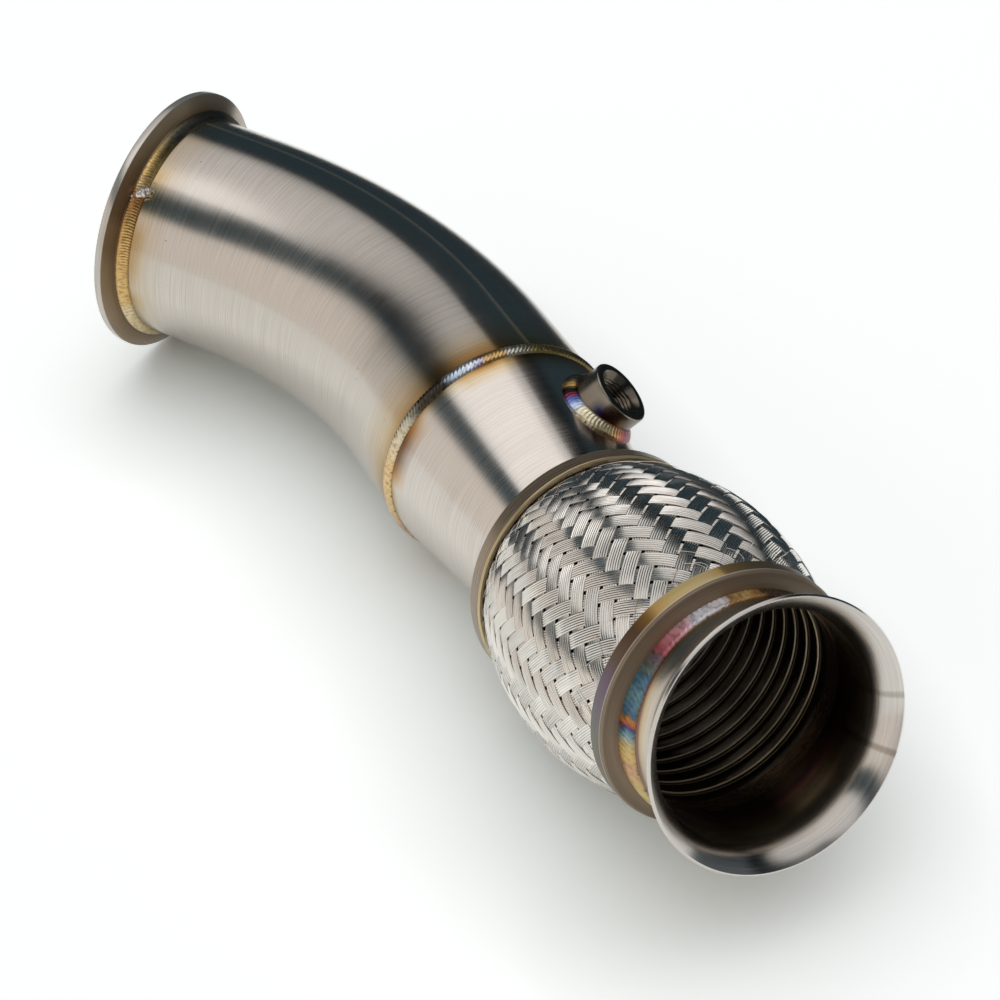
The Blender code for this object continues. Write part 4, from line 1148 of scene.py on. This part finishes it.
# %% The liner's finish
liner_tints = [(0.0, WHITE), (0.7, "#FFFAF0"), (1.0, "#F8ECD2")]
liner_steel = steel_finish(
    "liner_304_strip", "#F2EADC", 0.2, liner_tints, (0.0, 103.0), 280.0, 0.0, 0.2, metal=0.7,
)
tree = liner_steel.node_tree
from_start = add(tree, "Math", {0: map_part(liner_steel, "Y"), 1: LINER_START}, operation="SUBTRACT")
turns_along = add(tree, "Math", {0: from_start, 1: LINER_PITCH}, operation="DIVIDE")
in_turn = add(tree, "Math", {0: turns_along}, operation="FRACT")
# Painted highlights on the beads and painted shade between them, by the place within a turn
edge_highlights_and_shade = add(tree, "ValToRGB", {"Fac": in_turn}, stops=[
    (0.0, "#3A3733"), (0.03, WHITE), (0.10, WHITE), (0.13, "#262422"), (0.26, "#262422"), (0.28, "#9A9284"),
    (0.32, "#9A9284"), (0.35, "#242220"), (0.97, "#3A3733"),
])
lay_over(liner_steel, edge_highlights_and_shade, 1.0)

# %% Dress every piece
for piece, node, slot, material in (
    (bend, "bend_pipe", "brushed_stainless", bend_steel),
    (flange_bead, "inlet_flange_weld", "tig_weld", flange_weld),
    (mid_bead, "mid_weld", "tig_weld", mid_weld),
    (cone, "transition_cone", "brushed_stainless", cone_steel),
    (front_bung, "front_sensor_bung", "bung_stainless", bung_steel),
    (rear_bung, "rear_sensor_bung", "bung_stainless", bung_steel),
    (front_bead, "front_bung_weld", "tig_weld", bung_weld),
    (rear_bead, "rear_bung_weld", "tig_weld", bung_weld),
    (upper_collar, "upper_collar", "tinted_stainless", upper_steel),
    (collar_bead, "upper_collar_weld", "tig_weld", collar_weld),
    (lower_collar, "lower_collar", "tinted_stainless", lower_steel),
    (neck, "lower_sleeve", "tinted_stainless", neck_steel),
    (outlet_bead, "outlet_weld", "tig_weld", outlet_weld),
    (flare, "outlet_flare", "brushed_stainless", flare_steel),
    (liner, "flex_liner", "liner_stainless", liner_steel),
    (left_strands, "flex_braid", "braided_wire", wire),
    (right_strands, "flex_braid", "braided_wire", wire),
    (shade_bed, "flex_braid", "braided_wire", shade_bed_steel),
    (sprung, "flex_braid", "braided_wire", wire),
    (spatter, "inlet_flange_weld", "tig_weld", tack_steel),
):
    dress(piece, node, material)
bellows = frame["nodes"]["flex_bellows"]
bellows.data.materials.clear()
bellows.data.materials.append(bellows_steel)
print("Triangles in all:", sum(dressed))

# %% [markdown]
# ## The studio
# Polished steel is drawn by what it reflects, so the studio matters as much as the finish. The tube shows a
# pale wall low on its left, a bright ceiling overhead and near darkness behind it on the right, with the
# white floor along its lowest edge. A world shader paints these zones by direction, one large lamp adds to
# the highlight and the soft shadow, and the floor is white paper. Its shadow stays, and a little light of its
# own lifts it to white where the camera or a reflection sees it. Near the pipe the sky is hidden from the
# paper, which Blender's ambient occlusion measures, so the lift fades there and the contact shadow stays.

# %% The floor
PAPER_LIFT = 0.58
bpy.ops.mesh.primitive_plane_add(size=6.0, location=(0, 0, -0.2 * MM))
floor = bpy.context.active_object
floor.name = "paper_floor"
paper = bpy.data.materials.new("white_paper")
paper.use_nodes = True
tree = paper.node_tree
tree.nodes.remove(tree.nodes["Principled BSDF"])
rays = add(tree, "LightPath").outputs
seen = add(tree, "Math", {0: rays["Is Camera Ray"], 1: rays["Is Glossy Ray"]}, operation="ADD")
seen = add(tree, "Math", {0: seen, 1: rays["Is Transmission Ray"]}, operation="ADD", use_clamp=True)
sky = add(tree, "AmbientOcclusion", {"Distance": 80 * MM}, samples=2)
open_sky = add(tree, "Math", {0: sky.outputs["AO"], 1: 1.4}, operation="POWER")
lift = add(tree, "Math", {0: seen, 1: PAPER_LIFT}, operation="MULTIPLY")
lift = add(tree, "Math", {0: lift, 1: open_sky}, operation="MULTIPLY")
matt = add(tree, "BsdfDiffuse", {"Color": linear("#EEF4F1")})
glow = add(tree, "Emission", {"Color": linear(WHITE), "Strength": lift})
feed(tree, tree.nodes["Material Output"], {"Surface": add(tree, "AddShader", {0: matt, 1: glow})})
floor.data.materials.append(paper)
print("The paper is", round(floor.dimensions.x, 1), "m wide")

# %% The world's zones, by direction
scene = bpy.context.scene
world = bpy.data.worlds.new("studio")
scene.world = world
world.use_nodes = True
tree = world.node_tree
direction = add(tree, "TexCoord")
towards = add(tree, "SeparateXYZ", {"Vector": direction.outputs["Generated"]}).outputs
azimuth = add(tree, "Math", {0: towards["Y"], 1: towards["X"]}, operation="ARCTAN2")
round_share = add(tree, "MapRange", {"Value": azimuth, "From Min": -math.pi, "From Max": math.pi})
wall = add(tree, "ValToRGB", {"Fac": round_share}, stops=[
    (0.0, "#3A484F"), (0.085, "#3A484F"), (0.125, "#F3EEE8"), (0.36, "#F3EEE8"), (0.46, "#8C8C8C"),
    (0.66, "#6E7478"), (0.78, "#2F3E46"),
])
height = add(tree, "MapRange", {"Value": towards["Z"], "From Min": -1.0, "From Max": 1.0})
wall_top = add(tree, "ValToRGB", {"Fac": height}, stops=[
    (0.0, 1.0), (0.765, 1.0), (0.80, "#4C5E68"), (0.86, "#42545E"), (1.0, 0.1),
])
# The white ceiling comes down lower on the far side, as far as a black curtain at its right
leaning = add(tree, "Math", {0: towards["Y"], 1: 0.25, 2: towards["Z"]}, operation="MULTIPLY_ADD")
rightward = add(tree, "Math", {0: towards["X"], 1: 0.3, 2: towards["Y"]}, operation="MULTIPLY_ADD")
curtain = add(tree, "MapRange", {"Value": rightward, "From Min": 0.14, "From Max": 0.24, "To Max": 0.25})
leaning = add(tree, "Math", {0: leaning, 1: curtain}, operation="SUBTRACT")
lean = add(tree, "MapRange", {"Value": leaning, "From Min": -1.0, "From Max": 1.0})
ceiling = add(tree, "ValToRGB", {"Fac": lean}, stops=[(0.0, 0.0), (0.82, 0.0), (0.86, 0.74), (1.0, 0.8)])
walls = add(tree, "Mix", {FIRST: wall, SECOND: wall_top, SHARE: 1.0}, **TIMES)
room = add(tree, "Mix", {FIRST: walls, SECOND: ceiling, SHARE: 1.0}, data_type="RGBA", blend_type="ADD")
# The camera itself sees a white backdrop in every direction
rays = add(tree, "LightPath").outputs
backdrop = add(tree, "Mix", {FIRST: room, SECOND: linear("#FAFAFA"), SHARE: rays["Is Camera Ray"]}, **BLENDED)
feed(tree, tree.nodes["Background"], {"Color": backdrop})
print("Nodes in the world:", len(tree.nodes))

# %% [markdown]
# A photographer lays a black card beside the object, out of the picture, so that the metal's edge turns dark
# against the white paper. Only reflections see this one. A soft box hangs over the pipe's left side.

# %% A black card on the far side
bpy.ops.mesh.primitive_plane_add(size=1.0, location=(-1.5, 1.6, 1 * MM))
flag = bpy.context.active_object
flag.name = "black_card"
flag.scale = (2.9, 2.8, 1.0)
for ray in ("camera", "diffuse", "shadow", "transmission"):
    setattr(flag, "visible_" + ray, False)
felt = bpy.data.materials.new("black_felt")
felt.use_nodes = True
tree = felt.node_tree
nap = add(tree, "TexNoise", {"Scale": 300.0})
shade = add(tree, "ValToRGB", {"Fac": nap}, stops=[(0.0, "#2E3C44"), (1.0, "#3C4A52")])
feed(tree, tree.nodes["Principled BSDF"], {"Base Color": shade, "Roughness": 1.0})
flag.data.materials.append(felt)
print("The card lies", round(flag.location.z / MM, 1), "mm above the floor")

# %% The overhead soft box
BOX_PLACE = Vector((-0.32, 0.02, 0.98))
BOX_AIM = Vector((0.0, 0.03, 0.05))
box_light = bpy.data.lights.new("soft_box", "AREA")
box_light.shape = "RECTANGLE"
box_light.size = 1.1
box_light.size_y = 0.4
box_light.energy = 0.8
soft_box = bpy.data.objects.new("soft_box", box_light)
scene.collection.objects.link(soft_box)
soft_box.location = BOX_PLACE
soft_box.rotation_euler = (BOX_AIM - BOX_PLACE).to_track_quat("-Z", "Y").to_euler()
print("The soft box is", round((BOX_AIM - BOX_PLACE).length, 2), "m from the pipe")

# %% [markdown]
# ## The camera
# The photograph was taken from above the outlet end with a lens of about 87 mm on a 36 mm sensor. The place
# and angles come from fitting the rings of flange, welds and outlet to their ellipses in the picture.

# %% The camera at the photograph's angle
camera = bpy.data.objects.new("camera", bpy.data.cameras.new("camera"))
scene.collection.objects.link(camera)
scene.camera = camera
camera.location = (0.7033, -0.3046, 0.69868)
camera.rotation_euler = [math.radians(angle) for angle in (48.91, 0.848, 63.827)]
camera.data.lens = 87.318
camera.data.sensor_width = 36.0
scene.view_settings.view_transform = "Standard"
print("The camera is", round(camera.location.length, 2), "m from the middle of the floor")
